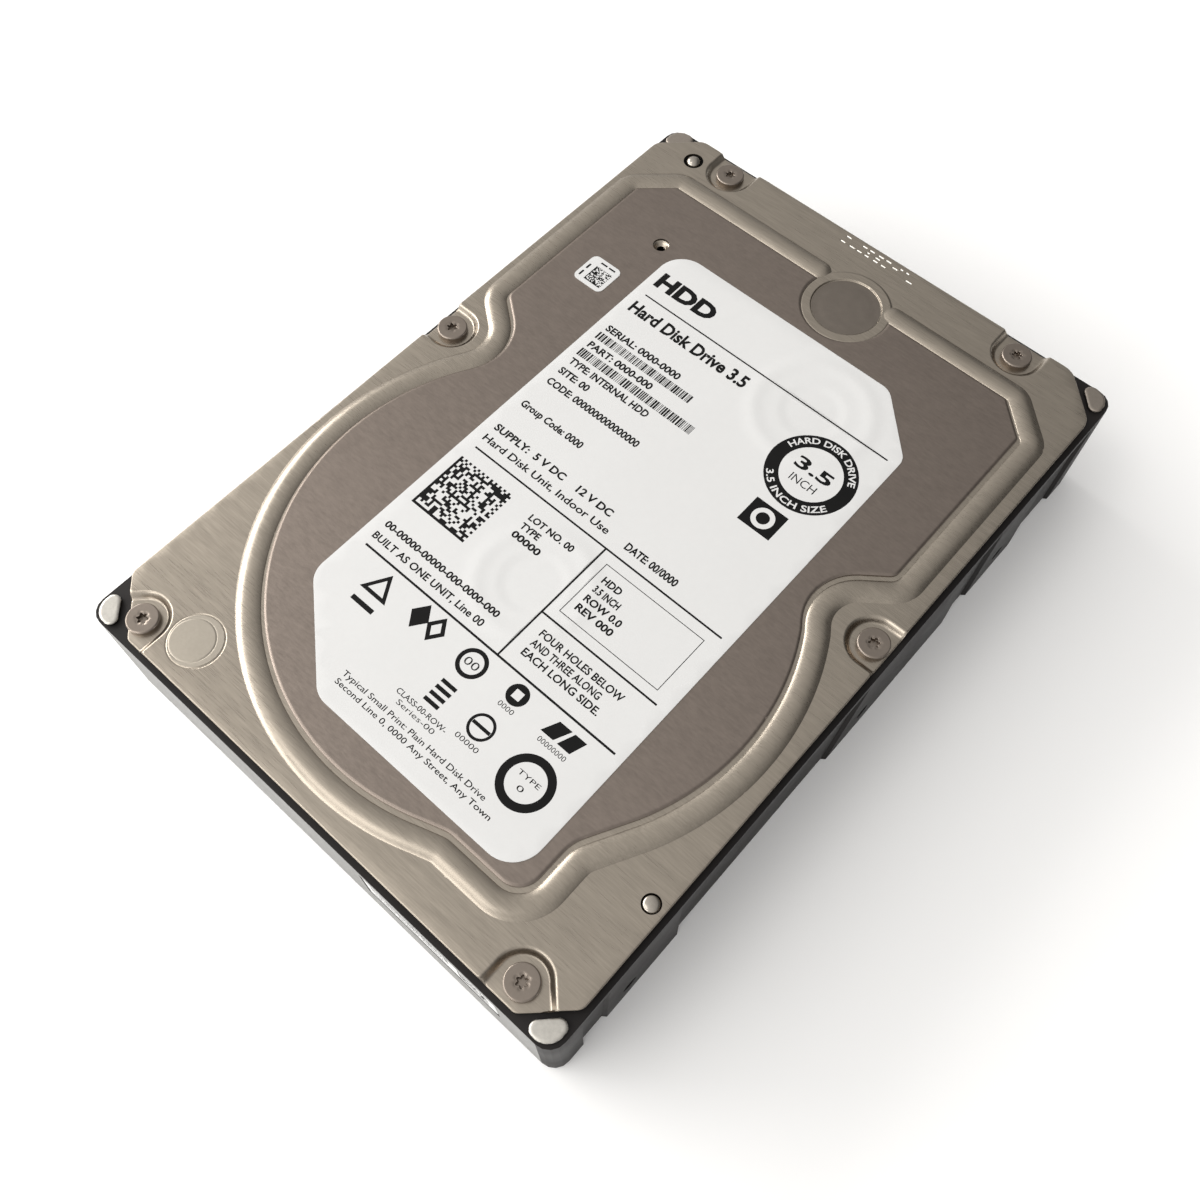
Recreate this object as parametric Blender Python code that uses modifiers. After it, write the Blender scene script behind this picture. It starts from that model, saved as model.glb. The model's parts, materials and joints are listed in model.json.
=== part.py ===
"""A 3.5-inch hard disk drive, built as an assembly of separate named pieces.

+Z is up through the top cover, +Y points to the connector end, and the origin is
at the bottom centre of the drive. Lengths below are in millimetres.
"""
import math

import bmesh
import bpy
from mathutils import Vector

MM = 0.001

# Outside of the drive
WIDTH = 101.6
LENGTH = 147.0
HEIGHT = 26.1
CORNER_R = 3.0

# Heights of the main layers
RIM_TOP = 23.5
COVER_TOP = 25.5
SHEET = 0.6
POST_TOP = 24.1
DISC_FLOOR = 10.5
ARM_FLOOR = 7.6
BOARD_ROOF = 5.2
APRON = 1.0

# Axes
SPINDLE = (0.0, -22.8)
PIVOT = (13.0, 34.0)
LATCH = (44.5, 33.0)
PARK_ANGLE = 202.4

# Raised bead of the cover
BEAD_CENTRE = (-0.46, -21.9)
BEAD_R = 45.9
BEAD_LEFT = -46.65
BEAD_RIGHT = 45.5
BEAD_TOP_Y = 61.22
BEAD_FRONT_Y = -63.55
ISLAND = (3.3, 57.2)

# Line the gasket follows on the rim
SEAL_R = 46.4
SEAL_SIDE = 46.6
SEAL_TOP_Y = 58.6

# Cover screws: centre, the arc of the pocket wall, and the way each wall runs out
COVER_SCREWS = {
    "cover_screw_rear_left": ((-33.5, 69.1), (180, 360), (0, 1), (0, 1)),
    "cover_screw_rear_right": ((32.65, 69.0), (180, 360), (0, 1), (0, 1)),
    "cover_screw_mid_left": ((-47.1, 5.85), (-90, 90), (-1, 0), (-1, 0)),
    "cover_screw_mid_right": ((47.0, 5.55), (90, 270), (1, 0), (1, 0)),
    "cover_screw_front_left": ((-42.15, -68.6), (0, 135), (0, -1), (-0.7, -0.7)),
    "cover_screw_front_right": ((41.15, -68.85), (45, 180), (0.7, -0.7), (0, -1)),
}
PIN_AT = (-41.1, 66.95)
STUD_AT = (47.5, -48.9)
BREATHER_AT = (-32.6, -65.55)
TEST_HOLE_AT = (-31.4, 45.7)

# Mounting holes, 6-32 thread
BOTTOM_HOLES = [(47.625, 32.22), (47.625, -12.23)]
SIDE_HOLES_Y = [45.0, 3.4, -56.6]
SIDE_HOLE_Z = 6.35

# Circuit board
BOARD_LOW = 0.9
BOARD_HIGH = 2.0
BOARD_SCREWS = [(-38.5, -24.0), (38.5, -24.0), (-38.5, 45.0), (38.5, 50.0)]

# Disk stack
HUB_R = 12.45
PLATTER_R = 47.5
PLATTER_LOW = 15.65
PLATTER_HIGH = 16.92

# Actuator
ARM_LENGTH = 49.8
COIL_R0 = 11.5
COIL_R1 = 25.0


# --------------------------------------------------------------------- helpers
def clear_scene():
    for obj in list(bpy.data.objects):
        bpy.data.objects.remove(obj, do_unlink=True)


def new_collection(name):
    group = bpy.data.collections.new(name)
    bpy.context.scene.collection.children.link(group)
    return group


def surface(name, colour, metallic, roughness):
    mat = bpy.data.materials.new(name)
    mat.use_nodes = True
    shader = mat.node_tree.nodes["Principled BSDF"]
    shader.inputs["Base Color"].default_value = (*colour, 1.0)
    shader.inputs["Metallic"].default_value = metallic
    shader.inputs["Roughness"].default_value = roughness
    mat.diffuse_color = (*colour, 1.0)
    return mat


def add_object(name, bm, material, at=(0.0, 0.0), turn=0.0):
    """Turn a bmesh, drawn in millimetres about the axis `at`, into an object."""
    mesh = bpy.data.meshes.new(name)
    bmesh.ops.recalc_face_normals(bm, faces=bm.faces)
    bmesh.ops.scale(bm, vec=(MM, MM, MM), verts=bm.verts)
    bm.to_mesh(mesh)
    bm.free()
    obj = bpy.data.objects.new(name, mesh)
    obj.location = (at[0] * MM, at[1] * MM, 0.0)
    obj.rotation_euler = (0.0, 0.0, math.radians(turn))
    if material is None:
        CUTTERS.objects.link(obj)
        obj.hide_render = True
        obj.display_type = "WIRE"
    else:
        DRIVE.objects.link(obj)
        mesh.materials.append(material)
    return obj


def shape(obj, tool, operation):
    """Add an exact Boolean with the object `tool`."""
    mod = obj.modifiers.new(operation.lower(), "BOOLEAN")
    mod.object = tool
    mod.operation = operation
    mod.solver = "EXACT"


def cut(obj, tool):
    shape(obj, tool, "DIFFERENCE")


def join(obj, tool):
    shape(obj, tool, "UNION")


def fillet(before, here, after, radius, step):
    """Points of the arc that rounds the corner `here`."""
    d0 = (before - here).normalized()
    d1 = (after - here).normalized()
    half = d0.angle(d1) / 2
    centre = here + (d0 + d1).normalized() * (radius / math.sin(half))
    start = here + d0 * (radius / math.tan(half)) - centre
    turn = math.pi - 2 * half
    if d0.x * d1.y - d0.y * d1.x > 0:
        turn = -turn
    count = max(2, math.ceil(abs(math.degrees(turn)) / step))
    first = math.atan2(start.y, start.x)
    angles = [first + turn * i / count for i in range(count + 1)]
    return [(centre.x + radius * math.cos(a), centre.y + radius * math.sin(a)) for a in angles]


def rounded(corners, step=24.0):
    """Closed outline through (x, y, radius) corners."""
    outline = []
    for i, (x, y, radius) in enumerate(corners):
        if radius <= 0:
            outline.append((x, y))
            continue
        before = Vector(corners[i - 1][:2])
        after = Vector(corners[(i + 1) % len(corners)][:2])
        outline += fillet(before, Vector((x, y)), after, radius, step)
    return outline


def arc(centre, radius, start, end, count):
    points = []
    for i in range(count + 1):
        a = math.radians(start + (end - start) * i / count)
        points.append((centre[0] + radius * math.cos(a), centre[1] + radius * math.sin(a)))
    return points


def circle(centre, radius, count=24):
    return arc(centre, radius, 0, 360, count)[:-1]


def box_outline(x0, y0, x1, y1, radius=0.0):
    return rounded([(x0, y0, radius), (x1, y0, radius), (x1, y1, radius), (x0, y1, radius)])


def sector(radius0, radius1, start, end, count=8):
    """Ring sector about the origin."""
    return arc((0, 0), radius1, start, end, count) + arc((0, 0), radius0, end, start, count)


def add_prism(bm, outline, low, high, top=None):
    """A closed prism from an outline; `top` gives it another outline at its top."""
    lower = [bm.verts.new((x, y, low)) for x, y in outline]
    upper = [bm.verts.new((x, y, high)) for x, y in (top or outline)]
    bm.faces.new(lower[::-1])
    bm.faces.new(upper)
    for i in range(len(lower)):
        j = (i + 1) % len(lower)
        bm.faces.new((lower[i], lower[j], upper[j], upper[i]))


def prism(name, material, outline, low, high, top=None, at=(0.0, 0.0), turn=0.0):
    bm = bmesh.new()
    add_prism(bm, outline, low, high, top)
    return add_object(name, bm, material, at, turn)


def prisms(name, outlines, low, high):
    """One cutter made of several separate prisms of the same height."""
    bm = bmesh.new()
    for outline in outlines:
        add_prism(bm, outline, low, high)
    return add_object(name, bm, None)


def blocks(name, material, boxes, at=(0.0, 0.0), turn=0.0):
    """Separate axis-aligned boxes (x0, y0, z0, x1, y1, z1)."""
    bm = bmesh.new()
    for x0, y0, z0, x1, y1, z1 in boxes:
        add_prism(bm, [(x0, y0), (x1, y0), (x1, y1), (x0, y1)], z0, z1)
    return add_object(name, bm, material, at, turn)


def lathe(name, material, profile, steps, at=(0.0, 0.0)):
    """Turn a profile of (radius, height) about Z.

    The profile runs down its outer side. It is a closed loop unless it starts and
    ends on the axis.
    """
    mesh = bpy.data.meshes.new(name)
    verts = [(r * MM, 0.0, z * MM) for r, z in profile]
    edges = [(i, i + 1) for i in range(len(verts) - 1)]
    if profile[0][0] > 0:
        edges.append((len(verts) - 1, 0))
    mesh.from_pydata(verts, edges, [])
    obj = bpy.data.objects.new(name, mesh)
    obj.location = (at[0] * MM, at[1] * MM, 0.0)
    mod = obj.modifiers.new("turned", "SCREW")
    mod.axis = "Z"
    mod.angle = math.tau
    mod.steps = steps
    mod.render_steps = steps
    mod.use_merge_vertices = True
    mod.merge_threshold = 0.00001
    if material is None:
        CUTTERS.objects.link(obj)
        obj.hide_render = True
        obj.display_type = "WIRE"
    else:
        DRIVE.objects.link(obj)
        mesh.materials.append(material)
    return obj


def normals_of(path, closed):
    """Outward mitred normals along a counter-clockwise path."""
    found = []
    last = len(path) - 1
    for i, point in enumerate(path):
        here = Vector(point)
        before = Vector(path[i - 1]) if closed or i > 0 else None
        after = Vector(path[(i + 1) % len(path)]) if closed or i < last else None
        d0 = (here - before).normalized() if before is not None else None
        d1 = (after - here).normalized() if after is not None else None
        along = ((d0 or d1) + (d1 or d0)).normalized()
        mitre = along.dot(d0 or d1)
        found.append(Vector((along.y, -along.x)) / mitre)
    return found


def offset(path, distance):
    pairs = zip(path, normals_of(path, True))
    return [(x + n.x * distance, y + n.y * distance) for (x, y), n in pairs]


def sweep(name, material, path, section, closed):
    """Carry a closed section of (offset, height) points along a path."""
    bm = bmesh.new()
    rings = []
    for (x, y), n in zip(path, normals_of(path, closed)):
        rings.append([bm.verts.new((x + n.x * o, y + n.y * o, z)) for o, z in section])
    pairs = list(zip(rings, rings[1:]))
    if closed:
        pairs.append((rings[-1], rings[0]))
    else:
        bm.faces.new(rings[0])
        bm.faces.new(rings[-1][::-1])
    for ring, following in pairs:
        for k in range(len(section)):
            m = (k + 1) % len(section)
            bm.faces.new((ring[k], following[k], following[m], ring[m]))
    return add_object(name, bm, material)


# ------------------------------------------------------------- shared outlines
def bead_corners():
    """Bead centre line: rear edge to the left, round the disk, and back on the right."""
    left_arc = arc(BEAD_CENTRE, BEAD_R, 150.6, 291.0, 20)
    right_arc = arc(BEAD_CENTRE, BEAD_R, -26.2, 29.4, 8)
    return (
        [(-39.3, BEAD_TOP_Y, 3), (BEAD_LEFT, 54.5, 3), (BEAD_LEFT, 16.3, 4.5)]
        + [(-36.2, 8.2, 7.5)]
        + [(x, y, 0) for x, y in left_arc]
        + [(19.6, BEAD_FRONT_Y, 3), (36.0, BEAD_FRONT_Y, 6.5), (36.0, -50.85, 5)]
        + [(x, y, 0) for x, y in right_arc]
        + [(34.9, 7.4, 7.0), (BEAD_RIGHT, 15.8, 4.5)]
        + [(BEAD_RIGHT, 54.0, 3), (37.85, BEAD_TOP_Y, 3)]
    )


def bead_path():
    """Open path of the bead, which stops on both sides of the rear island."""
    return [(-5.6, BEAD_TOP_Y)] + rounded(bead_corners()) + [(11.1, BEAD_TOP_Y)]


def seal_path():
    """Line of the gasket, centred on the disk."""
    left_arc = arc(SPINDLE, SEAL_R, 150.6, 293.5, 20)
    right_arc = arc(SPINDLE, SEAL_R, -26.2, 29.4, 8)
    return rounded(
        [(-40.9, SEAL_TOP_Y, 3), (-SEAL_SIDE, 53.9, 3), (-SEAL_SIDE, 16.8, 4.5)]
        + [(-36.0, 7.8, 8)]
        + [(x, y, 0) for x, y in left_arc]
        + [(20.6, -64.2, 5), (36.5, -64.2, 6.5), (36.5, -51.3, 6)]
        + [(x, y, 0) for x, y in right_arc]
        + [(36.0, 7.8, 8), (SEAL_SIDE, 16.8, 4.5)]
        + [(SEAL_SIDE, 53.3, 3), (39.0, SEAL_TOP_Y, 3)]
    )


def cover_outline(inset=0.0):
    x = 49.9 - inset
    y = 72.5 - inset
    return rounded(
        [(-41.6, -y, 1.5), (43.1, -y, 1.5), (x, -66.0, 2), (x, 64.8, 4)]
        + [(42.0, y, 4), (-43.0, y, 3), (-x, 66.0, 2.5), (-x, -64.5, 2)]
    )


def pocket_outline(screw, radius, reach):
    centre, (start, end), way0, way1 = screw
    points = arc(centre, radius, start, end, 8)
    tail0 = Vector(points[0]) + Vector(way0).normalized() * reach
    tail1 = Vector(points[-1]) + Vector(way1).normalized() * reach
    return points + [tuple(tail1), tuple(tail0)]


def clip(outline, window):
    """The part of a convex outline that lies inside a convex window."""
    for i in range(len(window)):
        a = Vector(window[i - 1])
        side = Vector(window[i]) - a
        kept = []
        for j in range(len(outline)):
            p = Vector(outline[j - 1])
            q = Vector(outline[j])
            depth_p = side.cross(p - a)
            depth_q = side.cross(q - a)
            if depth_p * depth_q < 0:
                kept.append(tuple(p.lerp(q, depth_p / (depth_p - depth_q))))
            if depth_q >= 0:
                kept.append(tuple(q))
        outline = kept
    return outline


def board_outline(margin):
    """Board edge with the round notch for the motor; `margin` grows it."""
    x = 43.1 + margin
    front = -30.2 - margin
    dip = math.degrees(math.asin((SPINDLE[1] - front) / (18.2 - margin)))
    notch = arc(SPINDLE, 18.2 - margin, 180 + dip, -dip, 14)
    return [(-x, front)] + notch + [(x, front), (x, 72.4), (-x, 72.4)]


# ------------------------------------------------------------------- materials
def make_materials():
    return {
        "casting": surface("black_casting", (0.035, 0.034, 0.036), 0.3, 0.5),
        "steel": surface("brushed_cover", (0.55, 0.51, 0.46), 1.0, 0.35),
        "damper": surface("damper_sheet", (0.27, 0.25, 0.23), 0.9, 0.4),
        "rubber": surface("black_rubber", (0.02, 0.02, 0.02), 0.0, 0.7),
        "screw": surface("nickel_screw", (0.45, 0.43, 0.41), 1.0, 0.35),
        "pin": surface("polished_pin", (0.7, 0.7, 0.7), 1.0, 0.2),
        "paper": surface("label_paper", (0.85, 0.85, 0.84), 0.0, 0.5),
        "foil": surface("foil_seal", (0.3, 0.28, 0.26), 0.8, 0.4),
        "film": surface("breather_film", (0.5, 0.48, 0.44), 0.3, 0.4),
        "board": surface("green_board", (0.02, 0.11, 0.06), 0.0, 0.4),
        "foam": surface("foam_insulator", (0.12, 0.12, 0.13), 0.0, 0.9),
        "plastic": surface("black_plastic", (0.015, 0.015, 0.016), 0.0, 0.45),
        "chip": surface("chip_package", (0.03, 0.03, 0.032), 0.0, 0.6),
        "alloy": surface("bare_aluminium", (0.75, 0.75, 0.76), 1.0, 0.3),
        "platter": surface("platter_coating", (0.82, 0.81, 0.8), 1.0, 0.05),
        "lamination": surface("motor_steel", (0.35, 0.35, 0.36), 1.0, 0.45),
        "copper": surface("enamelled_copper", (0.6, 0.25, 0.1), 0.9, 0.35),
        "magnet": surface("plated_magnet", (0.6, 0.6, 0.61), 1.0, 0.2),
        "ramp": surface("ivory_plastic", (0.75, 0.72, 0.62), 0.0, 0.5),
        "flex": surface("amber_film", (0.5, 0.2, 0.03), 0.0, 0.4),
        "filter": surface("filter_cloth", (0.8, 0.8, 0.78), 0.0, 0.9),
    }


# ---------------------------------------------------------------- base casting
def base_casting(mat):
    half_x = WIDTH / 2
    half_y = LENGTH / 2
    body = box_outline(-half_x, -half_y, half_x, half_y, CORNER_R)
    base = prism("base_casting", mat["casting"], body, 0.0, RIM_TOP)
    cut(base, prism("cavity_cutter", None, offset(seal_path(), 2.0), DISC_FLOOR, 30.0))
    cut(base, prism("arm_bay_cutter", None, arm_bay_outline(), ARM_FLOOR, 12.0))
    join(base, corner_posts())
    cut_side_panels(base)
    cut_underside(base)
    add_bosses(base)
    cut_holes(base)
    return base


def arm_bay_outline():
    return rounded(
        [(-44, 26, 4), (-30, 24, 4), (14, 23, 4), (47.8, 26, 4), (47.8, 51, 3), (39, 60.2, 3)]
        + [(-41, 60.2, 3), (-47.6, 51, 3), (-47.6, 30, 3)]
    )


def corner_posts():
    """Bare lands at the four corners, a little above the rim."""
    posts = []
    for sx, sy in ((-1, -1), (1, -1), (1, 1), (-1, 1)):
        corners = [(50.1 * sx, 73.1 * sy, 2.9), (50.1 * sx, 66.6 * sy, 1.25)]
        corners.append((43.9 * sx, 73.1 * sy, 1.25))
        posts.append(rounded(corners, 24))
    return prisms("post_tool", posts, 22.0, POST_TOP)


def cut_side_panels(base):
    """Shallow panels cast into both long sides between the mounting pads."""
    panels = [(-67.5, -67.5, -61.5, -61.0), (-45.0, -46.0, -5.0, 1.0), (30.0, 29.0, 38.0, 39.0)]
    panels.append((52.0, 51.0, 66.0, 67.5))
    for sx, side in ((-1, "left"), (1, "right")):
        bm = bmesh.new()
        for low0, high0, low1, high1 in panels:
            deep = 50.1 * sx
            wide = 52.0 * sx
            lower = [(deep, low0 + 0.8), (deep, low1 - 0.8), (wide, low1 + 0.6), (wide, low0 - 0.6)]
            upper = [(deep, high0 + 0.8), (deep, high1 - 0.8), (wide, high1 + 0.6)]
            upper.append((wide, high0 - 0.6))
            add_prism(bm, lower, -1.0, 21.6, upper)
        cut(base, add_object(f"{side}_panel_cutter", bm, None))


def cut_underside(base):
    """The board's recess, the apron in front of it and three cast pockets."""
    roof = board_outline(0.5)
    roof[-2:] = [(43.6, 76.0), (-43.6, 76.0)]
    cut(base, prism("board_recess_cutter", None, roof, -1.0, BOARD_ROOF))
    apron = box_outline(-43.6, -70.0, 43.6, -1.0, 3.0)
    cut(base, prism("apron_cutter", None, apron, -1.0, APRON))
    ribs = [sector(21.0, 39.0, a, a + 34.0, 7) for a in (215.0, 253.0, 291.0)]
    pockets = [[(x + SPINDLE[0], y + SPINDLE[1]) for x, y in rib] for rib in ribs]
    cut(base, prisms("apron_pocket_cutter", pockets, -1.0, 5.6))
    connector = box_outline(-43.0, 63.6, 1.6, 76.0)
    header = box_outline(5.4, 65.4, 12.6, 76.0)
    cut(base, prisms("connector_cutter", [connector, header], 1.0, 9.0))


def add_bosses(base):
    spots = [circle(point, 2.8, 12) for point in BOARD_SCREWS]
    join(base, prisms("board_boss_tool", spots, BOARD_HIGH + 0.1, 7.0))
    join(base, prism("spindle_boss_tool", None, circle(SPINDLE, 7.0), 9.0, 14.4))
    join(base, prism("pivot_boss_tool", None, circle(PIVOT, 4.6, 20), 6.0, 10.9))
    join(base, prism("latch_boss_tool", None, circle(LATCH, 1.8, 12), 6.5, 13.6))
    join(base, prism("latch_pin_tool", None, circle(LATCH, 0.9, 12), 7.0, 17.2))


def cut_holes(base):
    threads = [circle(s[0], 1.35, 10) for s in COVER_SCREWS.values()]
    cut(base, prisms("cover_thread_cutter", threads, 12.5, 30.0))
    cut(base, prism("pin_hole_cutter", None, circle(PIN_AT, 1.3, 12), 18.0, 30.0))
    cut(base, prism("stud_hole_cutter", None, circle(STUD_AT, 1.1, 12), 18.0, 30.0))
    cut(base, prism("spindle_hole_cutter", None, circle(SPINDLE, 3.05), 0.0, 16.0))
    cut(base, prism("pivot_hole_cutter", None, circle(PIVOT, 2.55, 20), 4.0, 12.0))
    cut(base, prisms("board_hole_cutter", [circle(p, 0.95, 10) for p in BOARD_SCREWS], 1.0, 6.6))
    holes = [circle((sx * x, y), 1.5, 12) for x, y in BOTTOM_HOLES for sx in (-1, 1)]
    cut(base, prisms("bottom_mount_cutter", holes, -1.0, 5.0))
    cut(base, side_hole_cutter())
    cut(base, blocks("sticker_recess_cutter", None, [(12.0, -75.0, 10.8, 40.0, -73.3, 20.8)]))


def side_hole_cutter():
    """Six blind holes that run in from the long sides."""
    bm = bmesh.new()
    for y in SIDE_HOLES_Y:
        for near, far in ((46.6, 53.0), (-53.0, -46.6)):
            ring = circle((y, SIDE_HOLE_Z), 1.5, 12)
            first = [bm.verts.new((near, u, v)) for u, v in ring]
            second = [bm.verts.new((far, u, v)) for u, v in ring]
            bm.faces.new(first[::-1])
            bm.faces.new(second)
            for i in range(12):
                j = (i + 1) % 12
                bm.faces.new((first[i], first[j], second[j], second[i]))
    return add_object("side_mount_cutter", bm, None)


# ------------------------------------------------------------------- top cover
def top_cover(mat):
    under = COVER_TOP - SHEET
    cover = prism("top_cover", mat["steel"], cover_outline(), under, COVER_TOP)
    ridge = [(-2.2, 25.2), (2.2, 25.2), (0.8, HEIGHT), (-0.8, HEIGHT)]
    join(cover, sweep("bead_tool", None, bead_path(), ridge, False))
    for i, screw in enumerate(COVER_SCREWS.values()):
        tray = clip(pocket_outline(screw, 5.0, 12.0), cover_outline(0.03))
        join(cover, prism(f"tray_tool_{i + 1}", None, tray, 23.7, 25.2))
    wells = [circle(SPINDLE, 5.9, 20), circle(PIVOT, 5.9, 20)]
    join(cover, prisms("well_tool", wells, 23.9, 25.2))
    cut_cover(cover, under)
    return cover


def cut_cover(cover, under):
    groove = [(-1.5, under - 0.2), (1.5, under - 0.2), (0.5, 25.5), (-0.5, 25.5)]
    cut(cover, sweep("bead_groove_cutter", None, bead_path(), groove, False))
    for i, screw in enumerate(COVER_SCREWS.values()):
        floor = pocket_outline(screw, 3.7, 14.0)
        rim = pocket_outline(screw, 4.6, 14.0)
        tool = prism(f"pocket_cutter_{i + 1}", None, floor, 24.4, COVER_TOP + 0.05, rim)
        cut(cover, tool)
    wells = [circle(SPINDLE, 5.2, 20), circle(PIVOT, 5.2, 20)]
    cut(cover, prisms("well_cutter", wells, 24.5, 27.0))
    dish = circle(ISLAND, 6.6)
    cut(cover, prism("dish_cutter", None, dish, COVER_TOP - 0.25, 27.0))
    holes = [circle(s[0], 1.45, 12) for s in COVER_SCREWS.values()]
    holes += [circle(SPINDLE, 1.4, 12), circle(PIVOT, 1.4, 12), circle(ISLAND, 3.5, 16)]
    holes += [circle(BREATHER_AT, 1.2, 12), circle(PIN_AT, 1.75, 16), circle(STUD_AT, 1.5, 16)]
    cut(cover, prisms("cover_hole_cutter", holes, 20.0, 27.0))
    sink = [(0.0, 25.8), (1.9, 25.8), (0.8, 24.7), (0.0, 24.7)]
    cut(cover, lathe("countersink_cutter", None, sink, 16, TEST_HOLE_AT))


def cover_gasket(mat):
    ring = [(2.1, RIM_TOP + 0.05), (3.1, RIM_TOP + 0.05), (3.1, 24.85), (2.1, 24.85)]
    return sweep("cover_gasket", mat["rubber"], seal_path(), ring, True)


def damper_plate(mat):
    outline = plate_outline()
    plate = prism("damper_plate", mat["damper"], outline, COVER_TOP + 0.03, COVER_TOP + 0.43)
    holes = [circle(SPINDLE, 5.5, 20), circle(PIVOT, 5.5, 20), circle(TEST_HOLE_AT, 1.7, 16)]
    cut(plate, prisms("plate_hole_cutter", holes, 24.0, 27.0))
    return plate


def plate_outline():
    """Damper sheet: the bead's line moved in, with a bay round the rear island."""
    shift_x, shift_y = -0.3, 0.35
    inner = [(x + shift_x, y + shift_y) for x, y in offset(rounded(bead_corners()), -2.45)]
    rear_y = BEAD_TOP_Y - 2.45 + shift_y
    dip = math.degrees(math.asin((rear_y - ISLAND[1]) / 8.3))
    return inner + arc(ISLAND, 8.3, dip, -180.0 - dip, 14)


def cover_screws(mat):
    recess = six_lobe_cutter()
    head = [(0.0, 25.45), (2.55, 25.45), (2.75, 24.45), (1.2, 24.45), (1.2, 14.0)]
    for name, (centre, _, _, _) in COVER_SCREWS.items():
        screw = lathe(name, mat["screw"], head + [(0.0, 14.0)], 16, centre)
        cut(screw, recess)
    head = [(0.0, 25.7), (3.1, 25.7), (3.3, 24.55), (1.15, 24.55), (1.15, 18.0)]
    for name, centre in (("spindle_cover_screw", SPINDLE), ("pivot_cover_screw", PIVOT)):
        screw = lathe(name, mat["screw"], head + [(0.0, 18.0)], 16, centre)
        cut(screw, recess)


def six_lobe_cutter():
    spots = [s[0] for s in COVER_SCREWS.values()] + [SPINDLE, PIVOT]
    stars = []
    for x, y in spots:
        star = []
        for i in range(12):
            a = math.tau * i / 12
            radius = 0.92 + 0.22 * math.cos(6 * a)
            star.append((x + radius * math.cos(a), y + radius * math.sin(a)))
        stars.append(star)
    return prisms("six_lobe_cutter", stars, 24.6, 27.0)


def locating_pins(mat):
    dome = [(0.0, HEIGHT), (0.6, 26.0), (1.1, 25.7), (1.45, 25.2), (1.45, 24.0)]
    dome += [(1.2, 23.8), (1.2, 18.2), (0.0, 18.2)]
    lathe("locating_pin", mat["pin"], dome, 18, PIN_AT)
    stud = [(0.0, 25.75), (1.2, 25.75), (1.35, 25.6), (1.35, 23.9), (1.0, 23.7), (1.0, 18.2)]
    lathe("locating_stud", mat["pin"], stud + [(0.0, 18.2)], 18, STUD_AT)


# -------------------------------------------------------------- labels and seals
def labels(mat):
    low = COVER_TOP + 0.46
    main = rounded(
        [(-27.95, 46.85, 5.2), (-27.95, -44.95, 4.5), (-11.25, -59.2, 5.0), (30.7, -59.2, 5.5)]
        + [(30.7, 36.4, 3.0), (20.3, 46.85, 3.6)]
    )
    prism("main_label", mat["paper"], main, low, low + 0.1)
    small = box_outline(-38.9, 29.0, -32.2, 35.7, 1.2)
    prism("data_sticker", mat["paper"], small, low, low + 0.1)
    blocks("end_sticker", mat["paper"], [(12.4, -73.44, 11.2, 39.6, -73.34, 20.4)])


def seals(mat):
    dish = COVER_TOP - 0.25
    prism("rear_foil_seal", mat["foil"], circle(ISLAND, 6.4, 32), dish + 0.04, dish + 0.16)
    disc = circle(BREATHER_AT, 4.5, 32)
    prism("breather_seal", mat["film"], disc, COVER_TOP + 0.03, COVER_TOP + 0.13)


# --------------------------------------------------------------- circuit board
def circuit_board(mat):
    board = prism("circuit_board", mat["board"], board_outline(0.0), BOARD_LOW, BOARD_HIGH)
    cut(board, prisms("board_screw_cutter", [circle(p, 1.1, 12) for p in BOARD_SCREWS], 0.0, 3.0))
    foam_edge = board_outline(-0.8)
    foam_edge[-2:] = [(42.3, 62.6), (-42.3, 62.6)]
    foam = prism("board_insulator", mat["foam"], foam_edge, 3.9, BOARD_ROOF - 0.1)
    cut(foam, prisms("foam_hole_cutter", [circle(p, 3.2, 12) for p in BOARD_SCREWS], 3.0, 6.0))
    blocks("controller_chip", mat["chip"], [(-15.0, 22.0, 2.05, 1.0, 38.0, 3.5)])
    blocks("memory_chip", mat["chip"], [(8.0, 40.0, 2.05, 18.0, 50.0, 3.2)])
    blocks("motor_driver_chip", mat["chip"], [(14.0, 6.0, 2.05, 23.0, 15.0, 3.1)])
    head = [(0.0, 2.05), (0.0, 0.3)]
    for i, point in enumerate(BOARD_SCREWS):
        shank = [(0.0, 6.2), (0.85, 6.2), (0.85, 0.87), (2.1, 0.87), (2.1, 0.45), (1.9, 0.3)]
        lathe(f"board_screw_{i + 1}", mat["screw"], shank + [head[1]], 14, point)


def interface_connector(mat):
    """Combined data and power receptacle with its two keyed tongues."""
    body = blocks("interface_connector", mat["plastic"], [(-42.2, 64.4, 2.1, 0.8, 73.3, 8.6)])
    mouths = [(-40.6, 67.4, 3.1, -16.4, 76.0, 7.6), (-14.6, 67.4, 3.1, -0.8, 76.0, 7.6)]
    cut(body, blocks("receptacle_cutter", None, mouths))
    tongues = [(-39.6, 66.5, 4.9, -18.6, 73.0, 6.1), (-13.4, 66.5, 4.9, -3.4, 73.0, 6.1)]
    join(body, blocks("tongue_tool", None, tongues))
    keys = [(-39.6, 66.5, 3.9, -38.4, 72.7, 5.5), (-13.4, 66.5, 3.9, -12.2, 72.7, 5.5)]
    join(body, blocks("tongue_key_tool", None, keys))
    header = blocks("pin_header", mat["plastic"], [(6.0, 66.0, 2.1, 12.0, 70.0, 7.0)])
    pins = [(x, 68.0, z, x + 0.6, 73.0, z + 0.6) for x in (7.4, 9.9) for z in (3.0, 5.4)]
    join(header, blocks("header_pin_tool", None, pins))


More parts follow.
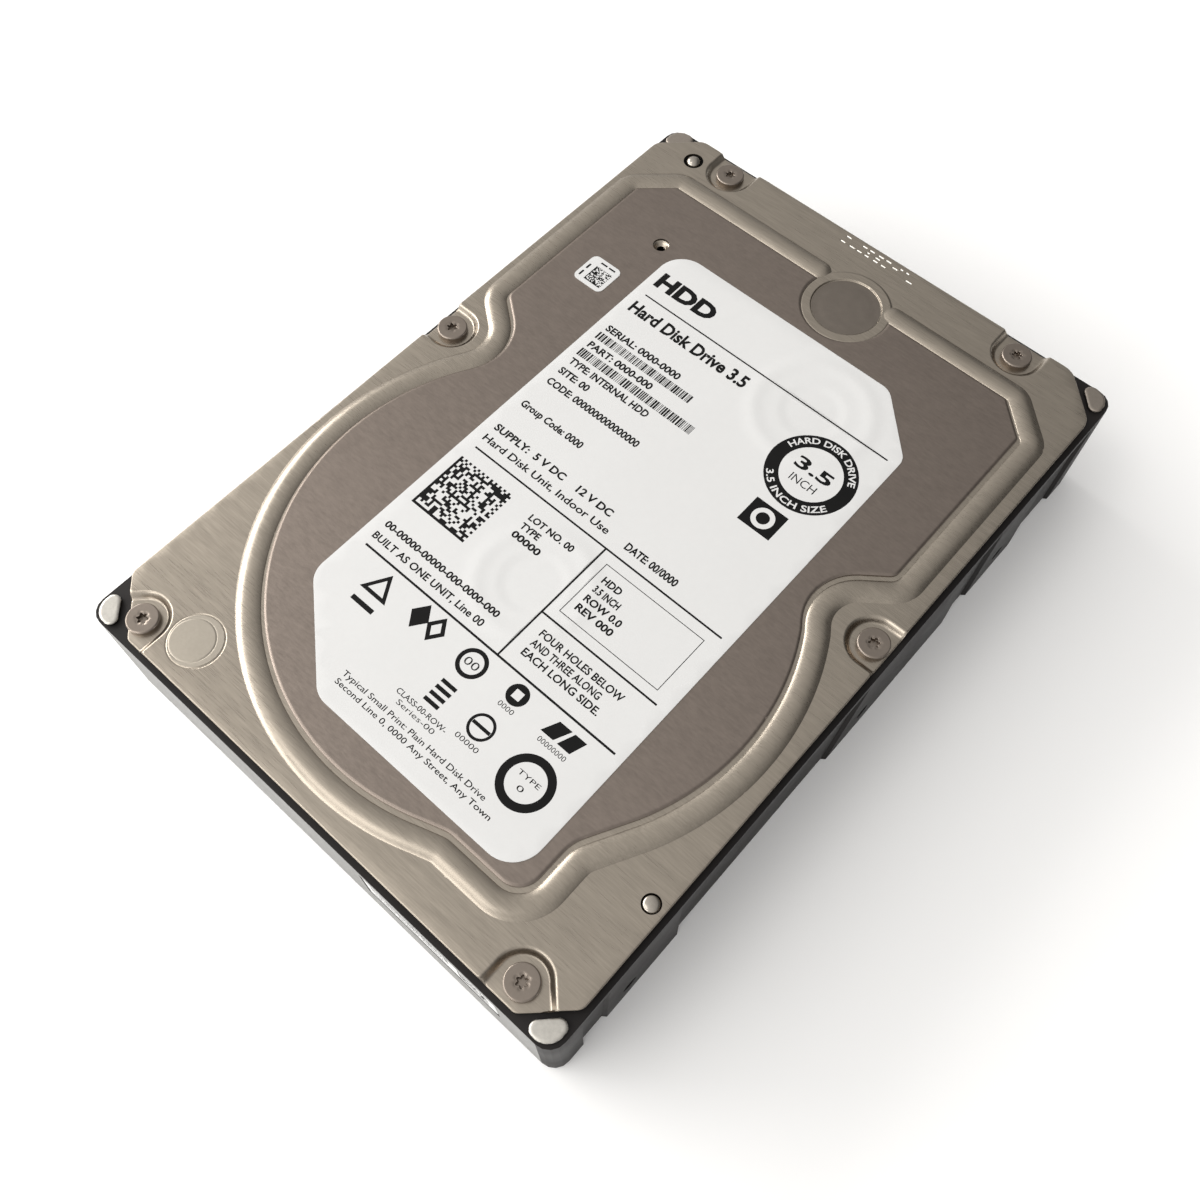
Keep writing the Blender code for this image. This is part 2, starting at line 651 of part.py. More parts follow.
# -------------------------------------------------------------- spindle motor
def spindle_motor(mat):
    shaft = [(0.0, 23.2), (2.8, 23.2), (3.0, 23.0), (3.0, 1.6), (0.0, 1.6)]
    post = lathe("spindle_shaft", mat["alloy"], shaft, 24, SPINDLE)
    cut(post, prism("shaft_thread_cutter", None, circle(SPINDLE, 1.25, 12), 17.0, 30.0))
    teeth = []
    for i in range(9):
        a = 360.0 / 9 * i
        teeth += arc((0, 0), 7.9, a - 20, a - 12, 1)
        teeth += sector_tip(a)
        teeth.append(arc((0, 0), 7.9, a + 12, a + 12, 1)[0])
    core = prism("stator_core", mat["lamination"], teeth, 11.6, 14.2, None, SPINDLE)
    cut(core, prism("stator_bore_cutter", None, circle(SPINDLE, 7.1), 10.0, 16.0))
    stator_winding(mat)


def sector_tip(angle):
    """Outline of one stator tooth with its wider tip."""
    a = math.radians(angle)
    along = Vector((math.cos(a), math.sin(a)))
    across = Vector((-along.y, along.x))
    steps = [(8.0, -0.8), (11.2, -0.8), (11.4, -3.0), (12.0, -2.8)]
    steps += [(12.1, 0.0), (12.0, 2.8), (11.4, 3.0), (11.2, 0.8), (8.0, 0.8)]
    return [tuple(along * r + across * s) for r, s in steps]


def stator_winding(mat):
    """Nine coils round the teeth, linked by a ring of wire below them."""
    ring = [(9.6, 11.4), (9.6, 10.9), (8.6, 10.9), (8.6, 11.4)]
    winding = lathe("stator_winding", mat["copper"], ring, 18, SPINDLE)
    coils = bmesh.new()
    slots = bmesh.new()
    for i in range(9):
        a = math.tau * i / 9
        along = Vector((math.cos(a), math.sin(a)))
        across = Vector((-along.y, along.x))
        add_prism(coils, bar(along, across, 8.5, 11.1, 1.5), 11.0, 14.8)
        add_prism(slots, bar(along, across, 7.0, 13.0, 0.9), 11.5, 14.3)
    join(winding, add_object("coil_tool", coils, None, SPINDLE))
    cut(winding, add_object("coil_slot_cutter", slots, None, SPINDLE))


def bar(along, across, near, far, half):
    corners = [(near, -half), (far, -half), (far, half), (near, half)]
    return [tuple(along * r + across * s) for r, s in corners]


def disk_stack(mat):
    hub = [(HUB_R, 17.5), (HUB_R, 15.6), (15.5, 15.6), (15.5, 11.0), (14.0, 11.0)]
    hub += [(14.0, 15.1), (3.1, 15.1), (3.1, 17.5)]
    body = lathe("spindle_hub", mat["alloy"], hub, 28, SPINDLE)
    spots = clamp_screw_spots()
    cut(body, prisms("hub_thread_cutter", [circle(p, 0.85, 10) for p in spots], 15.7, 20.0))
    ring = [(13.8, 14.8), (13.8, 11.3), (12.5, 11.3), (12.5, 14.8)]
    lathe("rotor_magnet", mat["magnet"], ring, 28, SPINDLE)
    disc = [(PLATTER_R, PLATTER_HIGH), (PLATTER_R, PLATTER_LOW)]
    disc += [(12.55, PLATTER_LOW), (12.55, PLATTER_HIGH)]
    lathe("platter", mat["platter"], disc, 64, SPINDLE)
    clamp = [(12.4, 18.6), (15.4, 18.1), (15.4, 16.97), (13.6, 16.97), (12.8, 17.55)]
    clamp += [(5.2, 17.55), (5.2, 18.6)]
    plate = lathe("disk_clamp", mat["alloy"], clamp, 28, SPINDLE)
    cut(plate, prisms("clamp_hole_cutter", [circle(p, 0.95, 10) for p in spots], 16.0, 20.0))
    screw = [(0.0, 19.5), (1.4, 19.5), (1.6, 19.3), (1.6, 18.65), (0.75, 18.65), (0.75, 15.9)]
    for i, point in enumerate(spots):
        lathe(f"clamp_screw_{i + 1}", mat["screw"], screw + [(0.0, 15.9)], 12, point)


def clamp_screw_spots():
    return arc(SPINDLE, 8.8, 30.0, 270.0, 2)


# ------------------------------------------------------------------- actuator
def actuator(mat):
    shaft = [(0.0, 23.2), (2.3, 23.2), (2.5, 23.0), (2.5, 5.4), (0.0, 5.4)]
    post = lathe("pivot_shaft", mat["alloy"], shaft, 20, PIVOT)
    cut(post, prism("pivot_thread_cutter", None, circle(PIVOT, 1.25, 12), 17.0, 30.0))
    sleeve = [(5.4, 21.0), (5.4, 11.2), (2.55, 11.2), (2.55, 21.0)]
    lathe("pivot_bearing", mat["screw"], sleeve, 24, PIVOT)
    actuator_arm(mat)
    suspensions(mat)
    voice_coil(mat)


def actuator_arm(mat):
    """Round hub with an arm above and an arm below the platter, and a tail for the coil."""
    arm = prism("actuator_arm", mat["alloy"], circle((0, 0), 9.2, 28), 11.5, 20.5, None, PIVOT)
    plan = [(0.0, -7.6, 0.0), (8.0, -7.6, 4.0), (37.0, -3.2, 1.0), (37.0, 3.2, 1.0)]
    plan += [(8.0, 7.6, 4.0), (0.0, 7.6, 0.0)]
    plates = bmesh.new()
    for low in (13.7, 18.1):
        add_prism(plates, rounded(plan), low, low + 0.8)
    add_prism(plates, [(0.0, -5.2), (0.0, 5.2), (-9.8, 4.8), (-9.8, -4.8)], 15.0, 17.0)
    join(arm, add_object("arm_plate_tool", plates, None, PIVOT, PARK_ANGLE))
    window = rounded([(13, -4.2, 1.2), (29, -1.8, 1.0), (29, 1.8, 1.0), (13, 4.2, 1.2)])
    cut(arm, prism("arm_window_cutter", None, window, 10.0, 22.0, None, PIVOT, PARK_ANGLE))
    cut(arm, prism("arm_bore_cutter", None, circle((0, 0), 5.5), 10.0, 22.0, None, PIVOT))


def suspensions(mat):
    plan = [(30.5, -2.6), (37.0, -2.4), (48.5, -0.8), (52.6, -0.35)]
    plan += [(52.6, 0.35), (48.5, 0.8), (37.0, 2.4), (30.5, 2.6)]
    for side, low, slider in (("upper", 17.75, 17.35), ("lower", 14.6, 14.9)):
        prism(f"suspension_{side}", mat["pin"], plan, low, low + 0.25, None, PIVOT, PARK_ANGLE)
        block = [(ARM_LENGTH - 0.6, -0.5, slider, ARM_LENGTH + 0.6, 0.5, slider + 0.35)]
        blocks(f"slider_{side}", mat["chip"], block, PIVOT, PARK_ANGLE)


def wedge(grow):
    """Rounded coil outline on the tail side of the arm, facing +X."""
    low = COIL_R0 - grow
    high = COIL_R1 + grow
    near = 2.6 + grow
    far = 6.2 + grow
    corner = max(0.6, 1.5 + grow)
    corners = [(low, -near, corner), (high, -far, corner), (high, far, corner)]
    return rounded(corners + [(low, near, corner)])


def voice_coil(mat):
    tail = PARK_ANGLE - 180.0
    coil = prism("voice_coil", mat["copper"], wedge(0.0), 14.7, 17.3, None, PIVOT, tail)
    cut(coil, prism("coil_window_cutter", None, inner_wedge(), 13.0, 19.0, None, PIVOT, tail))
    frame = prism("coil_frame", mat["plastic"], wedge(1.4), 14.9, 17.1, None, PIVOT, tail)
    cut(frame, prism("frame_window_cutter", None, wedge(0.15), 13.0, 19.0, None, PIVOT, tail))


def inner_wedge():
    corners = [(COIL_R0 + 3.0, -0.7, 0.5), (COIL_R1 - 3.4, -2.6, 0.8)]
    return rounded(corners + [(COIL_R1 - 3.4, 2.6, 0.8), (COIL_R0 + 3.0, 0.7, 0.5)])


def magnet_assembly(mat):
    plate = sector(9.6, 26.0, -9.0, 85.0, 12)
    prism("lower_magnet_plate", mat["lamination"], plate, 7.9, 10.2, None, PIVOT)
    upper = prism("upper_magnet_plate", mat["lamination"], plate, 21.0, 23.1, None, PIVOT)
    legs = [sector(19.0, 25.5, -8.5, -1.5, 3), sector(19.0, 25.5, 78.5, 84.5, 3)]
    shifted = [[(x + PIVOT[0], y + PIVOT[1]) for x, y in leg] for leg in legs]
    join(upper, prisms("plate_leg_tool", shifted, 10.25, 21.6))
    magnet = sector(10.4, 25.6, 4.0, 73.0, 10)
    prism("lower_magnet", mat["magnet"], magnet, 10.25, 13.4, None, PIVOT)
    prism("upper_magnet", mat["magnet"], magnet, 18.6, 20.95, None, PIVOT)


def inner_fittings(mat):
    """Ramp, filter, crash stop, flex bracket, flex cable and parking latch."""
    ramp_body = sector(53.3, 57.0, 196.5, 206.0, 4)
    ramp = prism("load_ramp", mat["ramp"], ramp_body, DISC_FLOOR + 0.1, 19.4, None, PIVOT)
    tongue = prism("tongue_ramp_tool", None, sector(50.4, 53.8, 198.0, 204.2, 3), 15.35, 17.25)
    tongue.location = ramp.location
    join(ramp, tongue)
    prism("crash_stop", mat["rubber"], circle((0, 0), 1.5, 14), ARM_FLOOR + 0.1, 17.0, None, (0.3, 39.8))
    panel = [(-7.0, -1.2), (7.0, -1.2), (7.0, 1.2), (-7.0, 1.2)]
    prism("recirculation_filter", mat["filter"], panel, 7.8, 19.0, None, (-37.5, 52.0), 38.0)
    bracket = [(-24.0, 46.5, 7.7, -8.0, 55.5, 10.2), (-11.4, 47.0, 9.8, -9.4, 55.0, 19.0)]
    body = blocks("flex_bracket", mat["plastic"], bracket[:1])
    join(body, blocks("bracket_wall_tool", None, bracket[1:]))
    loop = rounded([(-9.2, 50.0, 0), (0.0, 54.0, 4.0), (8.4, 48.4, 3.0), (7.2, 42.0, 0)], 15)
    ribbon = [(-0.12, 12.5), (0.12, 12.5), (0.12, 18.5), (-0.12, 18.5)]
    sweep("head_flex_cable", mat["flex"], loop, ribbon, False)
    parking_latch(mat)


def parking_latch(mat):
    plan = rounded([(-2.0, -2.0, 1.8), (2.0, -2.0, 1.8), (1.2, 9.0, 1.0), (-1.6, 9.0, 1.0)])
    lever = prism("latch_lever", mat["ramp"], plan, 13.8, 16.6, None, LATCH)
    cut(lever, prism("latch_bore_cutter", None, circle(LATCH, 0.98, 12), 12.0, 18.0))


# ----------------------------------------------------------------------- build
def build():
    mat = make_materials()
    base_casting(mat)
    top_cover(mat)
    cover_gasket(mat)
    damper_plate(mat)
    cover_screws(mat)
    locating_pins(mat)
    labels(mat)
    seals(mat)
    circuit_board(mat)
    interface_connector(mat)
    spindle_motor(mat)
    disk_stack(mat)
    actuator(mat)
    magnet_assembly(mat)
    inner_fittings(mat)


clear_scene()
DRIVE = new_collection("hard_disk_drive")
CUTTERS = new_collection("cutters")
build()
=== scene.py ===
"""Looks of the hard disk drive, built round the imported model. Lengths here are in millimetres."""

import json
import random
from math import asin, atan2, ceil, cos, degrees, hypot, pi, radians, sin, tan, tau

import bmesh
import bpy
import numpy as np
from mathutils import Matrix, Vector
from mathutils.geometry import delaunay_2d_cdt


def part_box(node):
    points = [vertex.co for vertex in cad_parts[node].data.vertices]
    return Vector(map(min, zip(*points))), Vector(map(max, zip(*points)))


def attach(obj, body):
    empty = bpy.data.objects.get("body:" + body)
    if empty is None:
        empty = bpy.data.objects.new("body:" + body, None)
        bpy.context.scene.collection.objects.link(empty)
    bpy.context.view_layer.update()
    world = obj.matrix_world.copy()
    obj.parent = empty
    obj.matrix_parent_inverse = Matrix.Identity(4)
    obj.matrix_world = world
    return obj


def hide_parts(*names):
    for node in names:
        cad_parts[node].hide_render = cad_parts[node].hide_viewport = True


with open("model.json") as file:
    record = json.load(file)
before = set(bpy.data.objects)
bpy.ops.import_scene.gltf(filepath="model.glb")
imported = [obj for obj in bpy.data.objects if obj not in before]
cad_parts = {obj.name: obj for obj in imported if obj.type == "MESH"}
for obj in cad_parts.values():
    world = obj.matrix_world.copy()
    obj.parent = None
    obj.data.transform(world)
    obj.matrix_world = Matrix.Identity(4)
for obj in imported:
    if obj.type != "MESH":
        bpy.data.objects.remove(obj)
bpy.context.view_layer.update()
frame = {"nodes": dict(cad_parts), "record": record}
NODES = frame["nodes"]
MM = 0.001


# --- places from CAD
def box_mm(node):
    """The lowest and highest corners of a CAD node, in millimetres."""
    return [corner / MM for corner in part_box(node)]


def centre_of(node):
    low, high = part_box(node)
    middle = (low + high) / 2 / MM
    return (round(middle.x, 3), round(middle.y, 3))


PLATE_LOW, PLATE_HIGH = box_mm("damper_plate")
COVER_HIGH = box_mm("top_cover")[1]
LABEL_HIGH = box_mm("main_label")[1]
PLATE_GAP = 0.03
COVER_TOP = PLATE_LOW.z - PLATE_GAP
SPINDLE = centre_of("spindle_shaft")
PIVOT = centre_of("pivot_shaft")
ISLAND = centre_of("rear_foil_seal")
BREATHER = centre_of("breather_seal")
PIN_AT = centre_of("locating_pin")
STUD_AT = centre_of("locating_stud")
TEST_HOLE = (-31.4, 45.7)

# screw: arc of its pocket's wall in degrees, and the way in which each end of the wall runs out
SCREW_POCKETS = {
    "cover_screw_rear_left": ((180, 360), (0, 1), (0, 1)),
    "cover_screw_rear_right": ((180, 360), (0, 1), (0, 1)),
    "cover_screw_mid_left": ((-90, 90), (-1, 0), (-1, 0)),
    "cover_screw_mid_right": ((90, 270), (1, 0), (1, 0)),
    "cover_screw_front_left": ((0, 135), (0, -1), (-0.7, -0.7)),
    "cover_screw_front_right": ((45, 180), (0.7, -0.7), (0, -1)),
}
POCKET_R = 3.7
POCKET_WALL = 1.2
POCKET_DEEP = 1.08
POCKET_REACH = 14.0
SHEET_STEEL = 0.5

# the raised bead, by its centre line; it follows the platter's circle at the front
BEAD_CENTRE = (-0.46, -21.9)
BEAD_R = 45.9
BEAD_LEFT = -46.65
BEAD_RIGHT = 45.5
BEAD_TOP_Y = 61.22
BEAD_FRONT_Y = -63.55
BEAD_HALF = 2.08
BEAD_HIGH = COVER_HIGH.z - COVER_TOP
BEAD_CROWN = 2.15  # power that sets how broad the crown is
# where the bead stops on each side of the rear island
BEAD_ENDS = (-5.6, 11.1)
ISLAND_R = 8.3
ISLAND_HIGH = 0.18
ISLAND_WELL = (6.65, 0.34)  # radius and depth
PLATE_INSET = 2.45
PLATE_SHIFT = (-0.3, 0.35)
LAND_CORNERS = ((50.1, 73.1, 2.9), (50.1, 66.6, 1.25), (43.9, 73.1, 1.25))


# --- outlines
def fillet(before, here, after, radius, step):
    """Points of the arc that rounds one corner, a point every step degrees."""
    d0 = (before - here).normalized()
    d1 = (after - here).normalized()
    half = d0.angle(d1) / 2
    centre = here + (d0 + d1).normalized() * (radius / sin(half))
    start = here + d0 * (radius / tan(half)) - centre
    turn = pi - 2 * half
    if d0.x * d1.y - d0.y * d1.x > 0:
        turn = -turn
    count = max(2, ceil(abs(degrees(turn)) / step))
    first = atan2(start.y, start.x)
    angles = [first + turn * i / count for i in range(count + 1)]
    return [(centre.x + radius * cos(a), centre.y + radius * sin(a)) for a in angles]


def rounded(corners, step=8.0):
    """Closed outline from corners given as x, y and radius."""
    outline = []
    for i, (x, y, radius) in enumerate(corners):
        if radius <= 0:
            outline.append((x, y))
            continue
        before = Vector(corners[i - 1][:2])
        after = Vector(corners[(i + 1) % len(corners)][:2])
        outline += fillet(before, Vector((x, y)), after, radius, step)
    return outline


def arc(centre, radius, start, end, count):
    angles = [radians(start + (end - start) * i / count) for i in range(count + 1)]
    return [(centre[0] + radius * cos(a), centre[1] + radius * sin(a)) for a in angles]


def circle(centre, radius, count=48):
    return arc(centre, radius, 0, 360, count)[:-1]


def box_outline(x0, y0, x1, y1, radius=0.0):
    return rounded([(x0, y0, radius), (x1, y0, radius), (x1, y1, radius), (x0, y1, radius)])


def offset(path, distance, closed=True):
    """The path moved to its right, which is outwards where it runs counter-clockwise."""
    points = [Vector(p) for p in path]
    moved = []
    for i, here in enumerate(points):
        d0 = (here - points[i - 1]).normalized()
        d1 = (points[(i + 1) % len(points)] - here).normalized()
        if not closed:
            d0, d1 = d0 if i else d1, d1 if i + 1 < len(points) else d0
        along = (d0 + d1).normalized()
        out = Vector((along.y, -along.x)) * (distance / max(0.3, along.dot(d0)))
        moved.append((here.x + out.x, here.y + out.y))
    return moved


def bead_corners():
    left_arc = arc(BEAD_CENTRE, BEAD_R, 150.6, 291.0, 60)
    right_arc = arc(BEAD_CENTRE, BEAD_R, -26.2, 29.4, 24)
    return (
        [(-39.3, BEAD_TOP_Y, 3), (BEAD_LEFT, 54.5, 3), (BEAD_LEFT, 16.3, 4.5), (-36.2, 8.2, 7.5)]
        + [(x, y, 0) for x, y in left_arc]
        + [(19.6, BEAD_FRONT_Y, 3), (36.0, BEAD_FRONT_Y, 6.5), (36.0, -50.85, 5)]
        + [(x, y, 0) for x, y in right_arc]
        + [(34.9, 7.4, 7), (BEAD_RIGHT, 15.8, 4.5), (BEAD_RIGHT, 54.0, 3), (37.85, BEAD_TOP_Y, 3)]
    )


def cover_outline():
    return rounded([
        (-41.6, -72.5, 1.5), (43.1, -72.5, 1.5), (49.9, -66.0, 2), (49.9, 64.8, 4),
        (42.0, 72.5, 4), (-43.0, 72.5, 3), (-49.9, 66.0, 2.5), (-49.9, -64.5, 2),
    ])


def pocket_outline(name, radius, reach):
    centre = centre_of(name)
    (start, end), way0, way1 = SCREW_POCKETS[name]
    points = arc(centre, radius, start, end, 24)
    tail0 = Vector(points[0]) + Vector(way0).normalized() * reach
    tail1 = Vector(points[-1]) + Vector(way1).normalized() * reach
    return points + [tuple(tail1), tuple(tail0)]


def plate_outline():
    """The damper plate fills the bead and goes round the rear island."""
    shift_x, shift_y = PLATE_SHIFT
    edge = offset(rounded(bead_corners()), -PLATE_INSET)
    inner = [(x + shift_x, y + shift_y) for x, y in edge]
    rear = BEAD_TOP_Y - PLATE_INSET + shift_y
    dip = degrees(asin((rear - ISLAND[1]) / ISLAND_R))
    return inner + arc(ISLAND, ISLAND_R, dip, -180.0 - dip, 40)


# --- distances, all in 2-D
def to_segments(points, path, closed):
    """Distance from each point to a path."""
    path = np.array(path, float)
    ends = np.roll(path, -1, axis=0) if closed else path[1:]
    starts = path if closed else path[:-1]
    best = np.full(len(points), 1e9)
    for a, b in zip(starts, ends):
        ab = b - a
        t = np.clip((points - a) @ ab / max(ab @ ab, 1e-12), 0, 1)
        gap = points - a - t[:, None] * ab
        best = np.minimum(best, gap[:, 0] ** 2 + gap[:, 1] ** 2)
    return np.sqrt(best)


def inside(points, path):
    """Whether each point is within a closed outline."""
    path = np.array(path, float)
    hit = np.zeros(len(points), bool)
    x, y = points[:, 0], points[:, 1]
    for a, b in zip(path, np.roll(path, -1, axis=0)):
        if a[1] == b[1]:
            continue
        crosses = (a[1] > y) != (b[1] > y)
        hit ^= crosses & (x < (b[0] - a[0]) * (y - a[1]) / (b[1] - a[1]) + a[0])
    return hit


def signed(points, path):
    """Distance to a closed outline, negative inside."""
    far = to_segments(points, path, True)
    return np.where(inside(points, path), -far, far)


def from_centre(points, centre):
    return np.hypot(points[:, 0] - centre[0], points[:, 1] - centre[1])


def ease(t):
    """Smooth step from 0 to 1."""
    t = np.clip(t, 0, 1)
    return t * t * (3 - 2 * t)


def plateau(far, radius, slope):
    """1 within a radius and 0 outside it; the slope between them is this wide."""
    return ease((radius - far) / slope)


def groove(far, radius, depth, width):
    """Depth of a soft line pressed in at a distance from something."""
    return depth * np.exp(-(((far - radius) / width) ** 2))


def round_edge(points, edge, radius):
    """How far a surface drops near its rounded rim."""
    t = np.clip(1 - to_segments(points, edge, True) / radius, 0, 0.995)
    return radius * (np.sqrt(1 - t * t) - 1)


# --- sheets in relief
def resample(path, step, closed=True):
    """The path with a point at least every step."""
    points = [Vector(p) for p in path]
    if closed:
        points.append(points[0])
    out = []
    for a, b in zip(points, points[1:]):
        count = max(1, ceil((b - a).length / step))
        out += [tuple(a.lerp(b, i / count)) for i in range(count)]
    if not closed:
        out.append(tuple(points[-1]))
    return out


def grid(x0, y0, x1, y1, step):
    """Staggered rows of points."""
    xs = np.arange(x0, x1 + step / 2, step)
    ys = np.arange(y0, y1 + step / 2, step)
    gx, gy = np.meshgrid(xs, ys)
    gx = gx + (np.arange(len(ys)) % 2)[:, None] * step / 2
    return np.stack([gx.ravel(), gy.ravel()], 1)


def grid_round(centre, reach, step):
    return grid(centre[0] - reach, centre[1] - reach, centre[0] + reach, centre[1] + reach, step)


def area_of(path):
    return sum(a[0] * b[1] - b[0] * a[1] for a, b in zip(path, path[1:] + path[:1])) / 2


def forward(path):
    """The same closed path, counter-clockwise."""
    return path if area_of(path) > 0 else path[::-1]


def doubled_areas(flat, tris):
    """Twice the signed area of every triangle."""
    a, b, c = (flat[tris[:, k]] for k in range(3))
    return (b[:, 0] - a[:, 0]) * (c[:, 1] - a[:, 1]) - (b[:, 1] - a[:, 1]) * (c[:, 0] - a[:, 0])


def mark_of_each(origins, flat, tris, marks):
    """Material index of every triangle: that of the last mark that truly holds it."""
    index = np.zeros(len(tris), int)
    if not marks:
        return index
    own = np.abs(doubled_areas(flat, tris)) / 2
    taken = np.zeros(len(marks))
    for area, origin in zip(own, origins):
        for k in origin:
            taken[k] += area
    whole = np.array([area_of(m[0]) for m in marks])
    sound = taken < 1.5 * whole + 1e-3
    for i, origin in enumerate(origins):
        held = [k for k in origin if sound[k]]
        if held:
            index[i] = marks[max(held)][1]
    return index


EDGE_STEP, HOLE_STEP = 0.6, 0.3
LEAST_GAP = 0.03  # free points stay this far from an edge
SLOPE_STEP = 0.02  # either side of a point, to measure the surface's slope there


def net(outline, holes, spots, marks, rim):
    """Flat triangles within an outline: their points, corners and material indices."""
    outline = forward(outline)
    holes = [forward(h) for h in holes]
    loops = [resample(outline, EDGE_STEP)] + [resample(h, HOLE_STEP) for h in holes]
    verts = []
    edges = []
    for loop in loops:
        first = len(verts)
        verts += loop
        edges += [(first + i, first + (i + 1) % len(loop)) for i in range(len(loop))]
    free = []
    for k, loop in enumerate(loops):
        for inset in rim:
            free += offset(loop, inset if k else -inset)
    free = np.array(free + [tuple(p) for p in spots], float)
    keep = inside(free, outline) & (to_segments(free, outline, True) > LEAST_GAP)
    for hole in holes:
        keep &= ~inside(free, hole) & (to_segments(free, hole, True) > LEAST_GAP)
    verts += [tuple(p) for p in free[keep]]
    faces = []
    marks = [(forward(polygon), colour) for polygon, colour in marks]
    marks = [m for m in marks if area_of(m[0]) > 1e-6]
    for polygon, _ in marks:
        faces.append(list(range(len(verts), len(verts) + len(polygon))))
        verts += [tuple(p) for p in polygon]
    verts = [Vector(v) for v in verts]
    points, _, tris, _, _, origins = delaunay_2d_cdt(verts, edges, faces, 0, 1e-6, True)
    flat = np.array([tuple(p) for p in points])
    tris = np.array([tuple(t) for t in tris])
    middle = flat[tris].mean(1)
    keep = inside(middle, outline)
    for hole in holes:
        keep &= ~inside(middle, hole)
    index = mark_of_each(origins, flat, tris, marks)
    tris, index = tris[keep], index[keep]
    turn = doubled_areas(flat, tris)
    tris[turn < 0] = tris[turn < 0][:, ::-1]
    used, tris = np.unique(tris, return_inverse=True)
    return flat[used], tris.reshape(-1, 3), index


def sheet(
    name, materials, outline, holes, height, thick, spots, marks=(), rim=(0.05, 0.12, 0.2), down=False
):
    """A closed sheet whose top follows height(points). marks are (polygon, material index),
    and rim gives the rows of points beside every edge, by their distance from it.
    With down it faces the other way and height is measured downwards."""
    flat, tris, index = net(outline, holes, spots, marks, rim)
    h = SLOPE_STEP
    dx = (height(flat + (h, 0)) - height(flat - (h, 0))) / (2 * h)
    dy = (height(flat + (0, h)) - height(flat - (0, h))) / (2 * h)
    up = np.stack([-dx, -dy, np.ones(len(flat))], 1)
    up /= np.linalg.norm(up, axis=1)[:, None]
    top = np.column_stack([flat, height(flat)])
    low = top - (0.0, 0.0, thick)
    count = len(top)
    directed = np.concatenate([tris[:, [0, 1]], tris[:, [1, 2]], tris[:, [2, 0]]])
    present = {(int(p), int(q)) for p, q in directed}
    border = sorted((p, q) for p, q in present if (q, p) not in present)
    polygons = [tuple(int(v) for v in t) for t in tris]
    polygons += [tuple(int(v) + count for v in t[::-1]) for t in tris]
    polygons += [(q, p, p + count, q + count) for p, q in border]
    flip = np.array((1.0, 1.0, -1.0 if down else 1.0))
    polygons = [p[::-1] for p in polygons] if down else polygons
    mesh = bpy.data.meshes.new(name)
    mesh.from_pydata((np.concatenate([top, low]) * flip * MM).tolist(), [], polygons)
    for material in materials:
        mesh.materials.append(material)
    slots = np.concatenate([index, np.zeros(len(index) + len(border), int)])
    mesh.polygons.foreach_set("material_index", slots)
    mesh.polygons.foreach_set("use_smooth", np.ones(len(polygons), bool))
    up = up * flip
    normals = up[tris[:, ::-1] if down else tris].reshape(-1, 3).tolist()
    normals += [(0.0, 0.0, 1.0 if down else -1.0)] * (3 * len(tris))
    for p, q in border:
        along = flat[q] - flat[p]
        side = (along[1], -along[0], 0.0) / max(np.hypot(*along), 1e-9)
        normals += [tuple(side)] * 4
    mesh.normals_split_custom_set(normals)
    mesh.update()
    return place(name, mesh)


def add(name, data):
    obj = bpy.data.objects.new(name, data)
    bpy.context.scene.collection.objects.link(obj)
    return obj


def place(name, mesh):
    obj = add(name, mesh)
    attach(obj, "base")
    return obj


# --- materials
def make_material(name, colour, metallic, roughness, **sockets):
    mat = bpy.data.materials.new(name)
    mat.use_nodes = True
    shader = mat.node_tree.nodes["Principled BSDF"]
    shader.inputs["Base Color"].default_value = (*colour, 1.0)
    shader.inputs["Metallic"].default_value = metallic
    shader.inputs["Roughness"].default_value = roughness
    for socket, value in sockets.items():
        shader.inputs[socket.replace("_", " ")].default_value = value
    return mat


def add_node(mat, kind, **settings):
    """A shader node, with its inputs and other settings by name."""
    node = mat.node_tree.nodes.new("ShaderNode" + kind)
    for key, value in settings.items():
        if key in node.inputs:
            node.inputs[key].default_value = value
        else:
            setattr(node, key, value)
    return node


def link(mat, out, into):
    mat.node_tree.links.new(out, into)


def noise(mat, stretch, detail=2.0, rough=0.5):
    """Noise in object space; stretch is the frequency per metre along X, Y and Z."""
    coord = add_node(mat, "TexCoord")
    mapping = add_node(mat, "Mapping", Scale=stretch)
    link(mat, coord.outputs["Object"], mapping.inputs["Vector"])
    tex = add_node(mat, "TexNoise", Scale=1.0, Detail=detail, Roughness=rough)
    link(mat, mapping.outputs["Vector"], tex.inputs["Vector"])
    return tex.outputs["Fac"]


def ramp(mat, value, low, high, out_low, out_high):
    limits = {"From Min": low, "From Max": high, "To Min": out_low, "To Max": out_high}
    node = add_node(mat, "MapRange", **limits)
    link(mat, value, node.inputs["Value"])
    return node.outputs["Result"]


def mix(mat, factor, first, second):
    """Between two colours, either of which may be a socket."""
    node = add_node(mat, "Mix", data_type="RGBA")
    link(mat, factor, node.inputs[0])
    for socket, value in ((node.inputs[6], first), (node.inputs[7], second)):
        if isinstance(value, tuple):
            socket.default_value = (*value, 1.0)
        else:
            link(mat, value, socket)
    return node.outputs[2]


def maths(mat, operation, first, second=0.0):
    node = add_node(mat, "Math", operation=operation)
    for socket, value in zip(node.inputs, (first, second)):
        if isinstance(value, float):
            socket.default_value = value
        else:
            link(mat, value, socket)
    return node.outputs[0]


def weighed(mat, first, second, share):
    """Sum of two values; the first one's share is from 0 to 1."""
    parts = (maths(mat, "MULTIPLY", first, share), maths(mat, "MULTIPLY", second, 1.0 - share))
    return maths(mat, "ADD", *parts)


def feed(mat, out, socket):
    """Drive a socket of the material's surface shader."""
    link(mat, out, mat.node_tree.nodes["Principled BSDF"].inputs[socket])


